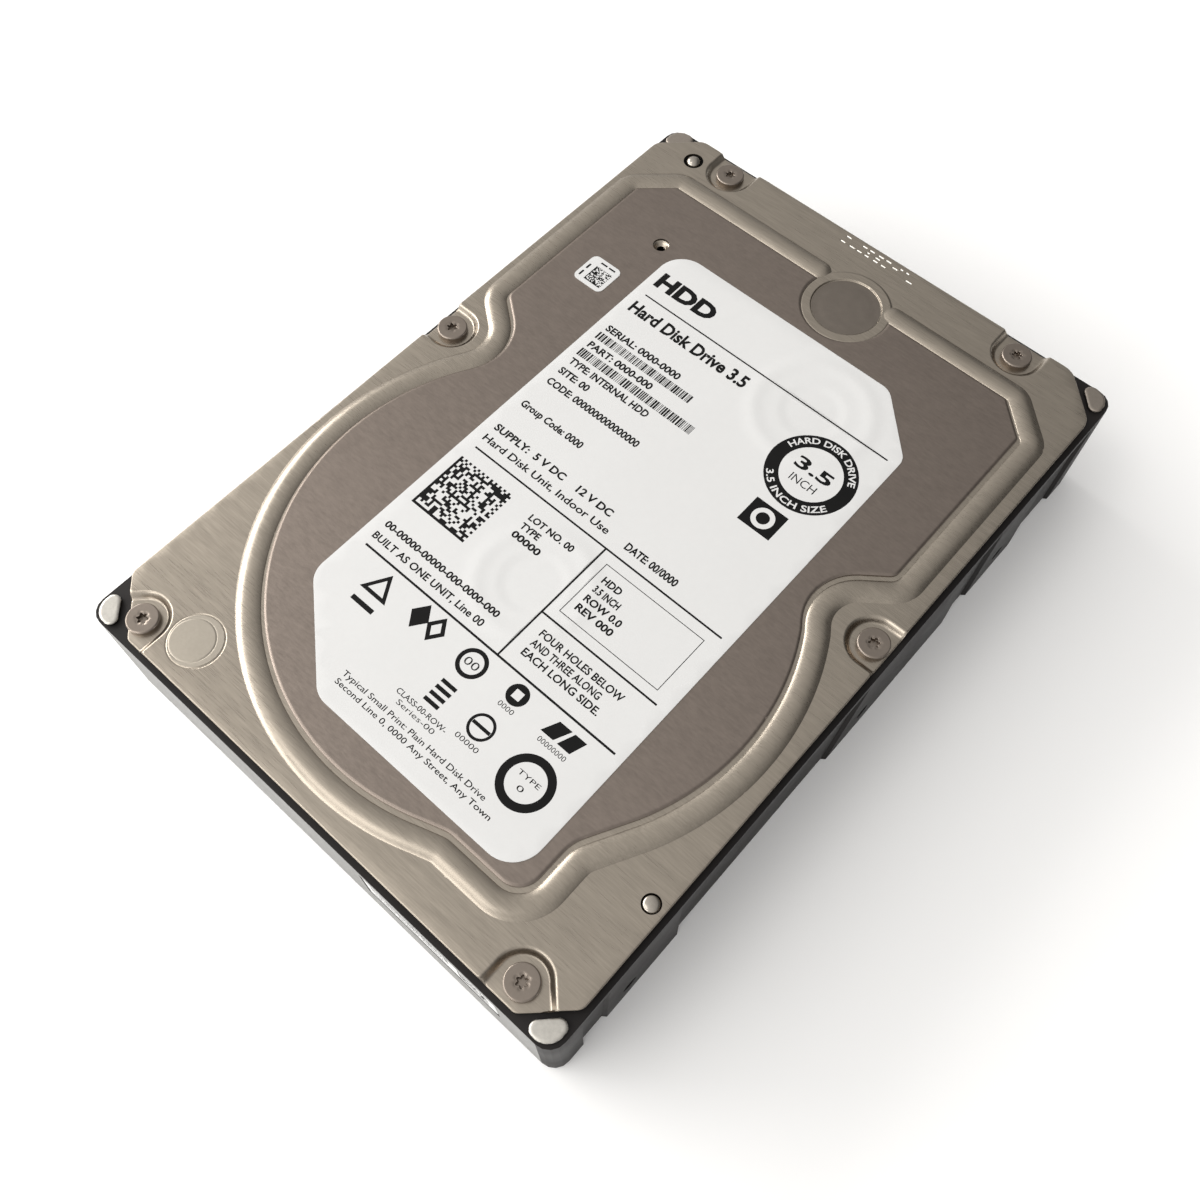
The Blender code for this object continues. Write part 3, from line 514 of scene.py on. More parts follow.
def bump(mat, height, distance, under=None):
    node = add_node(mat, "Bump", Strength=1.0, Distance=distance)
    link(mat, height, node.inputs["Height"])
    if under is not None:
        link(mat, under, node.inputs["Normal"])
    feed(mat, node.outputs["Normal"], "Normal")


def scaled(colour, factor):
    return tuple(c * factor for c in colour)


def tone(mat, value, low, high, colour, spread):
    """Base colour that goes from darker to lighter as a value goes from low to high."""
    shade = ramp(mat, value, low, high, 0.0, 1.0)
    colour_out = mix(mat, shade, scaled(colour, 1 - spread), scaled(colour, 1 + spread))
    feed(mat, colour_out, "Base Color")


def brushed(name, colour, roughness, grain, contrast, depth=4e-6):
    """Rolled and brushed sheet: fine and broad streaks along X, and cloudy roughness."""
    mat = make_material(name, colour, 1.0, roughness)
    fine = noise(mat, grain, 3.0, 0.6)
    broad = noise(mat, (grain[0] * 0.4, grain[1] * 0.12, grain[2] * 0.12), 2.0)
    cloud = noise(mat, (28.0, 34.0, 30.0), 3.0)
    streaks = weighed(mat, fine, broad, 0.75)
    tone(mat, streaks, 0.3, 0.7, colour, contrast)
    along = ramp(mat, streaks, 0.3, 0.7, roughness - 0.05, roughness + 0.07)
    rough = maths(mat, "ADD", along, ramp(mat, cloud, 0.35, 0.65, -0.03, 0.03))
    feed(mat, rough, "Roughness")
    bump(mat, streaks, depth)
    return mat


def speckled(name, colour, metallic, roughness, size, depth, spread=0.1, **sockets):
    """A moulded, cast, coated or printed surface with fine unevenness."""
    mat = make_material(name, colour, metallic, roughness, **sockets)
    fine = noise(mat, (1 / size,) * 3, 3.0, 0.6)
    cloud = noise(mat, (60.0, 60.0, 60.0), 3.0)
    tone(mat, weighed(mat, fine, cloud, 0.5), 0.35, 0.65, colour, spread)
    rough = ramp(mat, cloud, 0.35, 0.65, roughness - 0.05, roughness + 0.06)
    feed(mat, rough, "Roughness")
    bump(mat, fine, depth)
    return mat


def turned(name, colour, roughness):
    """Machined or plated metal with faint wear."""
    return speckled(name, colour, 1.0, roughness, 0.0006, 2e-6, 0.06)


def painted(name, colour):
    """Black coat on a casting: fine orange peel and soft edges. Its front (-Y) face is grey metal
    instead, a painted reflection of the bright surroundings.
    """
    mat = make_material(name, colour, 0.0, 0.55, Specular_IOR_Level=0.22)
    peel = noise(mat, (1400.0, 1400.0, 1400.0), 3.0, 0.6)
    cloud = noise(mat, (55.0, 55.0, 55.0), 3.0)
    edge = add_node(mat, "Bevel", Radius=0.00018, samples=4)
    geometry = add_node(mat, "NewGeometry")
    parts = add_node(mat, "SeparateXYZ")
    link(mat, geometry.outputs["True Normal"], parts.inputs[0])
    # front: the face pointing to -Y, where the coat gives way to grey metal as a painted reflection
    # of the bright surroundings
    front = ramp(mat, parts.outputs["Y"], -0.985, -0.995, 0.0, 1.0)
    shade = ramp(mat, cloud, 0.35, 0.65, 0.0, 1.0)
    coat = mix(mat, shade, scaled(colour, 0.75), scaled(colour, 1.3))
    # random mottle in the grey of that painted reflection
    mottle = ramp(mat, peel, 0.35, 0.65, 0.0, 1.0)
    metal = mix(mat, mottle, (0.26, 0.258, 0.252), (0.34, 0.338, 0.33))
    feed(mat, mix(mat, front, coat, metal), "Base Color")
    feed(mat, front, "Metallic")
    rough = ramp(mat, cloud, 0.35, 0.65, 0.48, 0.62)
    feed(mat, rough, "Roughness")
    bump(mat, peel, 1.2e-5, edge.outputs["Normal"])
    return mat


# colour, roughness, streaks per metre along X, Y and Z, contrast, and depth in metres
BRUSHED = {
    "brushed_cover": ((0.36, 0.318, 0.266), 0.30, (260.0, 5200.0, 5200.0), 0.13, 5e-6),
    "damper_sheet": ((0.235, 0.198, 0.172), 0.42, (700.0, 2600.0, 2600.0), 0.09, 3e-6),
    "foil_seal": ((0.22, 0.192, 0.165), 0.40, (500.0, 700.0, 700.0), 0.04),
    "motor_steel": ((0.33, 0.33, 0.34), 0.45, (900.0, 900.0, 4000.0), 0.1),
}
# colour, metallic, roughness, size and depth of the grain in metres, and spread of tone
SPECKLED = {
    "black_rubber": ((0.012, 0.012, 0.012), 0.0, 0.7, 0.0008, 1e-5),
    "label_paper": ((0.65, 0.65, 0.646), 0.0, 0.42, 0.0012, 6e-6, 0.012),
    "breather_film": ((0.36, 0.325, 0.275), 0.85, 0.5, 0.0005, 4e-6, 0.05),
    "green_board": ((0.012, 0.075, 0.035), 0.0, 0.35, 0.001, 1e-5, 0.15),
    "foam_insulator": ((0.05, 0.05, 0.055), 0.0, 0.9, 0.0008, 4e-5),
    "black_plastic": ((0.013, 0.013, 0.014), 0.0, 0.45, 0.0006, 1e-5),
    "chip_package": ((0.022, 0.022, 0.024), 0.0, 0.6, 0.0004, 1e-5),
    "bare_aluminium": ((0.52, 0.50, 0.46), 1.0, 0.40, 0.0005, 1.2e-5, 0.12),
    "platter_coating": ((0.78, 0.77, 0.75), 1.0, 0.06, 0.0006, 1e-7, 0.01),
    "enamelled_copper": ((0.55, 0.20, 0.07), 0.8, 0.35, 0.0003, 3e-5, 0.2),
    "ivory_plastic": ((0.72, 0.68, 0.56), 0.0, 0.45, 0.0008, 8e-6, 0.04),
    "amber_film": ((0.45, 0.20, 0.04), 0.0, 0.3, 0.001, 8e-6, 0.1),
    "filter_cloth": ((0.78, 0.78, 0.76), 0.0, 0.95, 0.0002, 6e-5, 0.1),
    "board_track": ((0.022, 0.125, 0.06), 0.0, 0.3, 0.001, 6e-6, 0.1),
    "board_print": ((0.62, 0.62, 0.60), 0.0, 0.5, 0.0008, 6e-6, 0.05),
    # a darker, browner copy of bare_aluminium for the two rear lands: painted shade
    "rear_land": ((0.34, 0.30, 0.26), 1.0, 0.42, 0.0005, 1e-5, 0.08),
}
# colour and roughness
TURNED = {
    "nickel_screw": ((0.26, 0.222, 0.19), 0.34),
    "polished_pin": ((0.42, 0.385, 0.34), 0.28),
    "plated_magnet": ((0.62, 0.61, 0.59), 0.22),
    # near-white: a painted glint on the cover's stamped strokes
    "stamped_metal": ((0.92, 0.90, 0.85), 0.3),
    "tinned_pad": ((0.50, 0.48, 0.44), 0.35),
    "gold_contact": ((0.83, 0.60, 0.27), 0.25),
}
MAT = {"black_casting": painted("black_casting_look", (0.013, 0.011, 0.0105))}
for make, table in ((brushed, BRUSHED), (speckled, SPECKLED), (turned, TURNED)):
    MAT.update({slot: make(f"{slot}_look", *numbers) for slot, numbers in table.items()})
INK = speckled(
    "printed_ink_look", (0.006, 0.006, 0.006), 0.0, 0.6, 0.0008, 4e-6, 0.15, Specular_IOR_Level=0.12
)
PRINTED = [MAT["label_paper"], INK]


def dress_cad():
    """Every CAD node takes the material of its slot."""
    for entry in frame["record"]["subparts"]:
        node = NODES[entry["node"]]
        node.data.materials.clear()
        node.data.materials.append(MAT[entry["material_slot"]])


dress_cad()


# --- top cover
BEAD_LINE = [(BEAD_ENDS[0], BEAD_TOP_Y)] + rounded(bead_corners()) + [(BEAD_ENDS[1], BEAD_TOP_Y)]
COVER_EDGE = cover_outline()
POCKETS = [pocket_outline(name, POCKET_R, POCKET_REACH) for name in SCREW_POCKETS]
# faint stamped strokes along the rear edge, pressed in, with a near-white painted glint on them; in
# rows: height of the row, then centre and half length
STROKE_ROWS = (
    (71.3, ((-6.4, 0.4), (-2.65, 0.4), (-1.0, 0.4), (1.05, 0.45), (2.75, 0.45))),
    (71.3, ((5.75, 0.2), (7.05, 0.2))),
    (70.5, ((-1.35, 0.15), (0.8, 0.4))),
    (70.7, ((4.6, 0.45),)),
    (69.7, ((-6.65, 0.4), (-4.55, 0.45), (-2.9, 0.4), (-1.2, 0.35))),
    (69.7, ((0.8, 0.4), (2.6, 0.4), (8.4, 0.55))),
)
STROKES = [(x, y, half) for y, row in STROKE_ROWS for x, half in row]
STROKE_HALF_WIDTH = 0.14


def cover_height(points):
    line = to_segments(points, BEAD_LINE, False)
    bead = BEAD_HIGH * (1 - np.clip(line / BEAD_HALF, 0, 1) ** BEAD_CROWN)
    bead -= groove(line, BEAD_HALF + 0.08, 0.09, 0.1) + groove(line, BEAD_HALF + 0.75, 0.025, 0.14)
    from_island = from_centre(points, ISLAND)
    island = ISLAND_HIGH * plateau(from_island, ISLAND_R + 0.25, 0.5)
    z = COVER_TOP + np.where(bead > island, bead, np.maximum(bead, island))
    z -= ISLAND_WELL[1] * plateau(from_island, ISLAND_WELL[0], 0.25)
    pocket = np.zeros(len(points))
    for floor in POCKETS:
        pocket = np.maximum(pocket, POCKET_DEEP * ease(1 - signed(points, floor) / POCKET_WALL))
    z -= pocket + 0.8 * plateau(from_centre(points, TEST_HOLE), 1.7, 1.0)
    for x, y, half in STROKES:
        past_end = np.maximum(np.abs(points[:, 0] - x) - half, 0)
        z -= 0.12 * ease(1 - np.hypot(past_end, points[:, 1] - y) / 0.24)
    z -= groove(from_centre(points, BREATHER), 4.68, 0.07, 0.13)
    return z + round_edge(points, COVER_EDGE, 0.22)


def along_both_sides(path, distances, step):
    """Points on lines that run beside an open path."""
    path = resample(path, step, False)
    out = []
    for i, point in enumerate(path):
        way = Vector(path[min(i + 1, len(path) - 1)]) - Vector(path[max(i - 1, 0)])
        side = Vector((-way.y, way.x)).normalized()
        out += [(point[0] + side.x * d, point[1] + side.y * d) for d in distances]
    return np.array(out)


def circles(centre, radii, count):
    return [np.array(circle(centre, radius, count)) for radius in radii]


def cover_spots():
    """Points in rows that follow every curved part of the cover."""
    rows = [0.0, 0.5, 0.95, 1.3, 1.55, 1.75, 1.9, 2.0, 2.08, 2.18, 2.32, 2.5, 2.68, 2.83, 2.98, 3.2]
    beads = along_both_sides(BEAD_LINE, sorted({-r for r in rows} | set(rows)), 0.45)
    off_row = np.abs(to_segments(beads, BEAD_LINE, False)[:, None] - np.array(rows)).min(1)
    spots = [beads[off_row < 0.012]]
    for name in SCREW_POCKETS:
        for k in range(9):
            loop = pocket_outline(name, POCKET_R - 0.1 + 0.175 * k, POCKET_REACH)
            spots.append(np.array(resample(loop, 0.35)))
    spots += circles(ISLAND, (6.3, 6.4, 6.46, 6.52, 6.58, 6.65, 6.8), 120)
    spots += circles(ISLAND, (8.0, 8.1, 8.2, 8.3, 8.4, 8.5, 8.6), 120)
    spots += circles(TEST_HOLE, (0.95, 1.1, 1.25, 1.4, 1.55, 1.7, 1.85), 32)
    spots += circles(BREATHER, (4.4, 4.5, 4.6, 4.68, 4.76, 4.86, 4.98), 110)
    spots.append(grid(-7.5, 69.3, 9.4, 71.7, 0.11))
    for end in (BEAD_LINE[0], BEAD_LINE[-1]):
        spots += circles(end, rows[1:], 28)
    spots.append(grid(-50.2, -73.0, 50.2, 73.0, 2.4))
    return np.concatenate(spots)


def build_cover():
    holes = [circle(centre_of(name), 1.45, 20) for name in SCREW_POCKETS]
    holes += [circle(BREATHER, 1.2, 20), circle(PIN_AT, 1.95, 32), circle(STUD_AT, 1.55, 24)]
    holes.append(circle(TEST_HOLE, 0.8, 24))
    # the strokes are real dents, coloured near-white in stamped_metal as a painted glint
    glint_strokes = []
    for x, y, half in STROKES:
        right = arc((x + half, y), STROKE_HALF_WIDTH, -90, 90, 6)
        glint_strokes.append((right + arc((x - half, y), STROKE_HALF_WIDTH, 90, 270, 6), 1))
    cover = sheet(
        "cover_skin", [MAT["brushed_cover"], MAT["stamped_metal"]], COVER_EDGE, holes,
        cover_height, SHEET_STEEL, cover_spots(), glint_strokes,
    )
    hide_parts("top_cover")


build_cover()


# --- damper plate
PLATE_EDGE = plate_outline()


def plate_height(points):
    """Flat, with its rim turned down into the bead's foot."""
    rim = to_segments(points, PLATE_EDGE, True)
    return PLATE_HIGH.z - 0.22 * np.clip(1 - rim / 0.55, 0, 1) ** 2


plate = sheet(
    "damper_sheet", [MAT["damper_sheet"]], PLATE_EDGE, [circle(TEST_HOLE, 1.55, 28)],
    plate_height, 0.38, grid(-46, -72, 46, 62, 4.0), (), (0.1, 0.22, 0.36, 0.55, 0.65),
)
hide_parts("damper_plate")


# --- print marks
# a mark is a polygon and the index of the material it is printed in
PAPER, INKED = 0, 1
CAP_HEIGHT = 0.729  # of the built-in font


def bar(x0, y0, x1, y1):
    return [(x0, y0), (x1, y0), (x1, y1), (x0, y1)]


def bars(rects, colour=INKED):
    return [(bar(*rect), colour) for rect in rects]


def glyphs(body, bold=0.0):
    """Triangles of a plain line of text, from x 0 to 1 and y 0 to 1."""
    curve = bpy.data.curves.new("text", "FONT")
    curve.body = body
    curve.resolution_u = 3
    curve.offset = bold
    obj = add("text", curve)
    graph = bpy.context.evaluated_depsgraph_get()
    mesh = bpy.data.meshes.new_from_object(obj.evaluated_get(graph))
    points = np.array([v.co[:2] for v in mesh.vertices])
    left, right = points[:, 0].min(), points[:, 0].max()
    points = (points - (left, 0)) / (right - left, CAP_HEIGHT)
    tris = [[tuple(points[v]) for v in p.vertices] for p in mesh.polygons]
    bpy.data.objects.remove(obj)
    bpy.data.curves.remove(curve)
    bpy.data.meshes.remove(mesh)
    return tris


def text(body, x0, x1, y, cap, bold=0.0):
    """A line of text from x0 to x1, its capitals centred on y."""
    low = y - cap / 2
    tris = glyphs(body, bold)
    return [([(x0 + u * (x1 - x0), low + v * cap) for u, v in tri], INKED) for tri in tris]


def arc_text(body, centre, radius, cap, start, end):
    """White text round a circle, from one angle to the other in degrees. A positive cap
    has the letters' tops outwards, and a negative one inwards."""
    out = []
    for tri in glyphs(body, 0.02):
        points = []
        for u, v in tri:
            angle = radians(start + (end - start) * u)
            r = radius + v * cap
            points.append((centre[0] + r * cos(angle), centre[1] + r * sin(angle)))
        out.append((points, PAPER))
    return out


def ring(centre, radius0, radius1, count=48, colour=INKED):
    inner = arc(centre, radius0, 0, 360, count)
    outer = arc(centre, radius1, 0, 360, count)
    return [([inner[i], outer[i], outer[i + 1], inner[i + 1]], colour) for i in range(count)]


def disc(centre, radius, count=48, colour=INKED):
    return [(circle(centre, radius, count), colour)]


def frame_marks(x0, y0, x1, y1, width, colour=INKED):
    sides = (
        (x0, y0, x1, y0 + width), (x0, y1 - width, x1, y1),
        (x0, y0 + width, x0 + width, y1 - width), (x1 - width, y0 + width, x1, y1 - width),
    )
    return bars(sides, colour)


def bar_code(x0, x1, y0, y1, seed):
    """Bars of random widths, which say nothing."""
    rng = random.Random(seed)
    marks = []
    x = x0
    while x < x1 - 0.2:
        width = rng.choice((0.13, 0.13, 0.26, 0.39))
        marks.append((bar(x, y0, min(x + width, x1), y1), INKED))
        x += width + rng.choice((0.13, 0.13, 0.26))
    return marks


def matrix_code(x0, y0, size, cells, seed):
    """A square of random cells with two solid sides and two dotted ones, which says nothing."""
    rng = random.Random(seed)
    step = size / cells
    last = cells - 1
    marks = []
    for row in range(cells):
        run = None
        low, high = y0 + row * step, y0 + (row + 1) * step
        for col in range(cells + 1):
            on = col < cells and (
                row == 0 or col == 0
                or (row == last and col % 2 == 0)
                or (col == last and row % 2 == 0)
                or (row < last and col < last and rng.random() < 0.5)
            )
            if on and run is None:
                run = col
            if not on and run is not None:
                marks.append((bar(x0 + run * step, low, x0 + col * step, high), INKED))
                run = None
    return marks


def round_badge(centre):
    """A plain printed ring round the drive's size, with plain words in the ring."""
    x, y = centre
    marks = ring(centre, 5.6, 8.2)
    marks += arc_text("HARD DISK DRIVE", centre, 6.42, 1.3, 160, 20)
    marks += arc_text("3.5 INCH SIZE", centre, 7.68, -1.3, 212, 328)
    marks += text("3.5", x - 3.7, x + 3.7, y + 1.0, 2.5, 0.025)
    marks += text("INCH", x - 2.6, x + 2.6, y - 2.3, 1.7)
    return marks


def icon_row():
    """Plain made-up symbols in the two rows under the last rule."""
    marks = bars([(-20.6, -44.6, -15.8, -43.7)])
    marks.append(([(-21.1, -42.0), (-15.3, -42.0), (-18.2, -37.2)], INKED))
    marks.append(([(-19.9, -41.3), (-16.5, -41.3), (-18.2, -38.5)], PAPER))
    for x in (-9.7, -6.1):
        marks.append(([(x - 1.9, -39.4), (x, -42.0), (x + 1.9, -39.4), (x, -36.8)], INKED))
    marks.append(([(-7.1, -39.4), (-6.1, -40.8), (-5.1, -39.4), (-6.1, -38.0)], PAPER))
    marks += ring((2.4, -39.8), 1.95, 2.7) + text("00", 1.0, 3.8, -39.8, 1.5)
    marks += disc((11.5, -38.9), 1.95) + bars([(10.7, -39.7, 12.3, -38.1)], PAPER)
    marks += text("0000", 10.0, 13.1, -41.6, 0.95)
    marks.append(([(18.0, -40.7), (20.6, -40.7), (22.0, -37.7), (19.4, -37.7)], INKED))
    marks.append(([(21.4, -40.7), (24.0, -40.7), (25.0, -37.7), (22.6, -37.7)], INKED))
    marks += text("00000000", 18.6, 24.2, -41.8, 0.95)
    marks += bars((0.8, -45.2 - 1.3 * i, 3.9, -44.5 - 1.3 * i) for i in range(4))
    marks += ring((11.0, -46.5), 1.85, 2.35) + bars([(9.2, -46.8, 12.8, -46.2)])
    marks += text("00000", 8.7, 13.4, -49.7, 0.95)
    marks += text("CLASS-00-ROW-", -3.2, 7.4, -50.6, 1.0, 0.01)
    marks += text("Series-00", -1.8, 6.2, -52.0, 0.95)
    marks += ring((22.2, -48.4), 3.3, 4.7)
    marks += text("TYPE", 20.0, 24.4, -47.6, 0.9) + text("0", 21.6, 22.8, -49.6, 1.0)
    return marks


# words, the line's two ends, its height on the label, height of its capitals, boldness
LABEL_LINES = (
    ("HDD", -26.9, -13.5, 40.1, 3.6, 0.05),
    ("Hard Disk Drive 3.5", -26.6, 0.6, 31.9, 2.7, 0.035),
    ("SERIAL: 0000-0000", -26.5, -9.2, 24.9, 1.5, 0.035),
    ("PART: 0000-000", -26.5, -11.5, 19.9, 1.5, 0.035),
    ("TYPE: INTERNAL HDD", -26.5, -8.1, 14.9, 1.5, 0.035),
    ("SITE: 00", -26.5, -19.6, 12.1, 1.5, 0.035),
    ("CODE: 0000000000000000", -26.5, -5.2, 9.0, 1.5, 0.035),
    ("Group Code: 0000", -26.5, -12.3, 2.3, 1.5, 0.035),
    ("SUPPLY:  5 V DC    12 V DC", -26.4, 0.7, -4.5, 1.5, 0.035),
    ("Hard Disk Unit, Indoor Use", -26.4, 2.5, -7.4, 1.5, 0.02),
    ("DATE: 00/0000", 6.4, 17.4, -7.4, 1.5, 0.035),
    ("LOT NO. 00", -9.3, 0.5, -14.0, 1.3, 0.035),
    ("TYPE", -9.3, -5.2, -16.1, 1.3, 0.035),
    ("00000", -9.3, -3.2, -18.2, 1.3, 0.035),
    ("HDD", 7.8, 11.7, -14.7, 1.35, 0.035),
    ("3.5 INCH", 7.8, 13.2, -16.9, 1.35, 0.035),
    ("ROW 0.0", 7.8, 15.5, -19.1, 1.35, 0.035),
    ("REV 000", 7.8, 15.5, -21.2, 1.35, 0.035),
    ("FOUR HOLES BELOW", 6.8, 24.2, -28.5, 1.4, 0.025),
    ("AND THREE ALONG", 6.8, 21.3, -30.6, 1.4, 0.025),
    ("EACH LONG SIDE.", 6.8, 22.9, -32.7, 1.4, 0.025),
    ("00-00000-00000-000-0000-000", -26.4, -0.3, -30.9, 1.3, 0.035),
    ("BUILT AS ONE UNIT, Line 00", -26.4, -1.1, -33.7, 1.4, 0.025),
    ("Typical Small Print: Plain Hard Disk Drive", -11.6, 19.4, -54.2, 1.05, 0.01),
    ("Second Line 0, 0000 Any Street, Any Town", -11.5, 22.1, -55.9, 1.05, 0.01),
)


# the print was laid out on a sheet this much larger than the label, and off its centre
PRINT_SCALE = (0.9843, 0.9844)
PRINT_SHIFT = (0.28, -0.29)


def label_marks():
    marks = []
    for line in LABEL_LINES:
        marks += text(*line)
    marks += bar_code(-26.7, -4.4, 21.5, 23.3, 11) + bar_code(-26.7, 0.1, 16.5, 18.4, 12)
    rules = (
        (-26.3, 35.15, 28.9, 35.45), (-26.0, -10.3, 29.0, -9.95), (4.15, -36.0, 4.5, -10.3),
        (4.5, -25.9, 28.7, -25.55), (-26.0, -36.25, 29.2, -35.85),
    )
    marks += bars(rules)
    marks += frame_marks(6.3, -23.8, 27.2, -12.2, 0.14)
    marks += matrix_code(-26.4, -25.2, 12.2, 24, 5)
    marks += round_badge((20.8, 24.2))
    marks += bars([(16.7, 9.0, 23.4, 14.6)]) + disc((20.05, 11.8), 2.1, colour=PAPER)
    marks += disc((20.05, 11.8), 1.2)
    marks += icon_row()
    laid = []
    (wide, high), (right, up) = PRINT_SCALE, PRINT_SHIFT
    for mark, colour in marks:
        laid.append(([(wide * x + right, high * y + up) for x, y in mark], colour))
    return laid


# --- labels
LABEL_EDGE = rounded([
    (-27.95, 46.85, 5.2), (-27.95, -44.95, 4.5), (-11.25, -59.2, 5.0),
    (30.7, -59.2, 5.5), (30.7, 36.4, 3.0), (20.3, 46.85, 3.6),
])


PAPER_THICK = 0.09
PAPER_RIM = (0.03, 0.06)
WELL_RINGS = ((PIVOT, 10.4), (SPINDLE, 9.6))


def label_height(points):
    """Flat, but for the faint rings of the two screw wells that show through."""
    z = np.full(len(points), LABEL_HIGH.z)
    for centre, radius in WELL_RINGS:
        far = from_centre(points, centre)
        z += groove(far, radius, 0.11, 1.5) - 0.10 * plateau(far, 6.4, 2.2)
    return z + round_edge(points, LABEL_EDGE, 0.06)


def paper(name, edge, height, spots, marks):
    piece = sheet(name, PRINTED, edge, [], height, PAPER_THICK, spots, marks, PAPER_RIM)
    return piece


def build_labels():
    spots = [grid(-30, -61, 32, 49, 3.0)]
    for centre in (PIVOT, SPINDLE):
        fine = grid_round(centre, 14, 0.7)
        spots.append(fine[from_centre(fine, centre) < 14])
    label = paper("label_print", LABEL_EDGE, label_height, np.concatenate(spots), label_marks())
    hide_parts("main_label")
    low, high = box_mm("data_sticker")
    marks = matrix_code(low.x + 2.1, low.y + 0.9, 3.8, 18, 7)
    for i in range(2):
        left, bottom = low.x + 2.2 + 1.9 * i, low.y + 1.0 + 2.0 * i
        marks += bars([(low.x + 0.7, bottom, low.x + 1.1, bottom + 1.3)])
        marks += bars([(left, high.y - 1.1, left + 1.5, high.y - 0.75)])
    edge = box_outline(low.x, low.y, high.x, high.y, 1.2)
    spots = grid(low.x, low.y, high.x, high.y, 1.5)
    top = high.z
    sticker = paper("code_sticker", edge, lambda p: top + round_edge(p, edge, 0.05), spots, marks)
    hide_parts("data_sticker")


build_labels()


# --- corner lands
LAND_PROUD = 0.16
LANDS = {"front_left": (-1, -1), "front_right": (1, -1), "rear_right": (1, 1), "rear_left": (-1, 1)}


def build_lands():
    """Bare machined lands on the four corner posts of the casting; the two rear ones are coloured
    darker and browner as painted shade.
    """
    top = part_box("base_casting")[1].z / MM + LAND_PROUD
    for name, (sx, sy) in LANDS.items():
        edge = rounded([(x * sx, y * sy, radius) for x, y, radius in LAND_CORNERS], 6)
        middle = [sum(p[k] for p in edge) / len(edge) for k in (0, 1)]
        # the rear lands take the darker, browner copy of the same aluminium: painted shade
        metal = MAT["bare_aluminium" if sy < 0 else "rear_land"]
        land = sheet(
            f"corner_land_{name}", [metal], edge, [],
            lambda p, edge=edge: top + round_edge(p, edge, 0.5) * 0.5,
            0.14, grid_round(middle, 5, 0.25), (), (0.04, 0.1, 0.2, 0.35),
        )


build_lands()


# --- screws and pins
def turned_piece(name, profile, steps, centre, material, smooth=40.0):
    """A closed turned solid; the profile is (radius, height) from axis to axis."""
    bm = bmesh.new()
    rings = []
    for radius, z in profile:
        around = circle(centre, radius, steps) if radius > 1e-6 else [centre]
        rings.append([bm.verts.new((x, y, z)) for x, y in around])
    for upper, lower in zip(rings, rings[1:]):
        for i in range(steps):
            j = (i + 1) % steps
            corners = ((upper, i), (lower, i), (lower, j), (upper, j))
            bm.faces.new(list(dict.fromkeys(loop[k % len(loop)] for loop, k in corners)))
    return finish_bmesh(name, bm, MAT[material], smooth)


def finish_bmesh(name, bm, material, smooth=40.0):
    """The object, in metres, smooth but for edges sharper than so many degrees."""
    bmesh.ops.recalc_face_normals(bm, faces=bm.faces)
    for edge in bm.edges:
        if len(edge.link_faces) == 2:
            edge.smooth = edge.calc_face_angle(0.0) < radians(smooth)
    for face in bm.faces:
        face.smooth = True
    bmesh.ops.scale(bm, vec=(MM, MM, MM), verts=bm.verts)
    mesh = bpy.data.meshes.new(name)
    bm.to_mesh(mesh)
    bm.free()
    mesh.materials.append(material)
    return place(name, mesh)


def star(centre, turn):
    """Outline of a six-lobe recess."""
    points = []
    for i in range(48):
        angle = tau * i / 48
        radius = 0.80 + 0.19 * cos(6 * angle)
        x, y = radius * cos(angle + turn), radius * sin(angle + turn)
        points.append((centre[0] + x, centre[1] + y))
    return points


def screw_head(name, centre, radius, top, turn, thick, down=False):
    edge = circle(centre, radius, 64)
    recess = star(centre, turn)

    def height(points):
        lobe = signed(points, recess)
        z = top + round_edge(points, edge, 0.28) - 0.85 * ease(-lobe / 0.12 + 0.25)
        return z - 0.05 * ease((0.3 - np.abs(lobe - 0.1)) / 0.3)

    fine = grid_round(centre, 1.6, 0.07)
    near = np.abs(signed(fine, recess)) < 0.28
    spots = np.concatenate([fine[near], grid_round(centre, 3, 0.4)])
    metal = [MAT["nickel_screw"]]
    return sheet(f"{name}_head", metal, edge, [], height, thick, spots, (), (0.05, 0.13, 0.28), down)


def thread(z, last, crest, root, flank, pitch):
    """Profile of a thread from height z to last; flank and pitch are negative downwards."""
    profile = []
    while (last - z) * pitch > 0:
        profile += [(crest, z), (root, z + flank), (crest, z + 2 * flank)]
        z += pitch
    return profile


def stand_for_screw(name, head, profile):
    shank = turned_piece(f"{name}_thread", profile, 24, centre_of(name), "nickel_screw", 25)
    for obj in (head, shank):
        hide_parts(name)


def build_screws():
    rng = random.Random(3)
    head_thick = 1.15
    for name in list(SCREW_POCKETS) + ["spindle_cover_screw", "pivot_cover_screw"]:
        low, high = box_mm(name)
        radius = (high.x - low.x) / 2 - 0.02
        head = screw_head(name, centre_of(name), radius, high.z, rng.uniform(0, 1.0), head_thick)
        top = high.z - head_thick - 0.01
        profile = [(0.0, top), (1.15, top)] + thread(top - 0.3, low.z + 0.6, 1.15, 0.98, -0.17, -0.40)
        stand_for_screw(name, head, profile + [(0.95, low.z + 0.3), (0.0, low.z)])


def build_board_screws():
    """The board's screws go in from below."""
    rng = random.Random(4)
    for name in BOARD_SCREWS:
        low, high = box_mm(name)
        head = screw_head(name, centre_of(name), 2.05, -low.z, rng.uniform(0, 1.0), 0.5, True)
        profile = [(0.0, low.z + 1.45), (0.95, low.z + 1.45)]
        profile += thread(low.z + 1.7, high.z - 0.6, 0.95, 0.8, 0.15, 0.36)
        stand_for_screw(name, head, profile + [(0.7, high.z - 0.1), (0.0, high.z)])


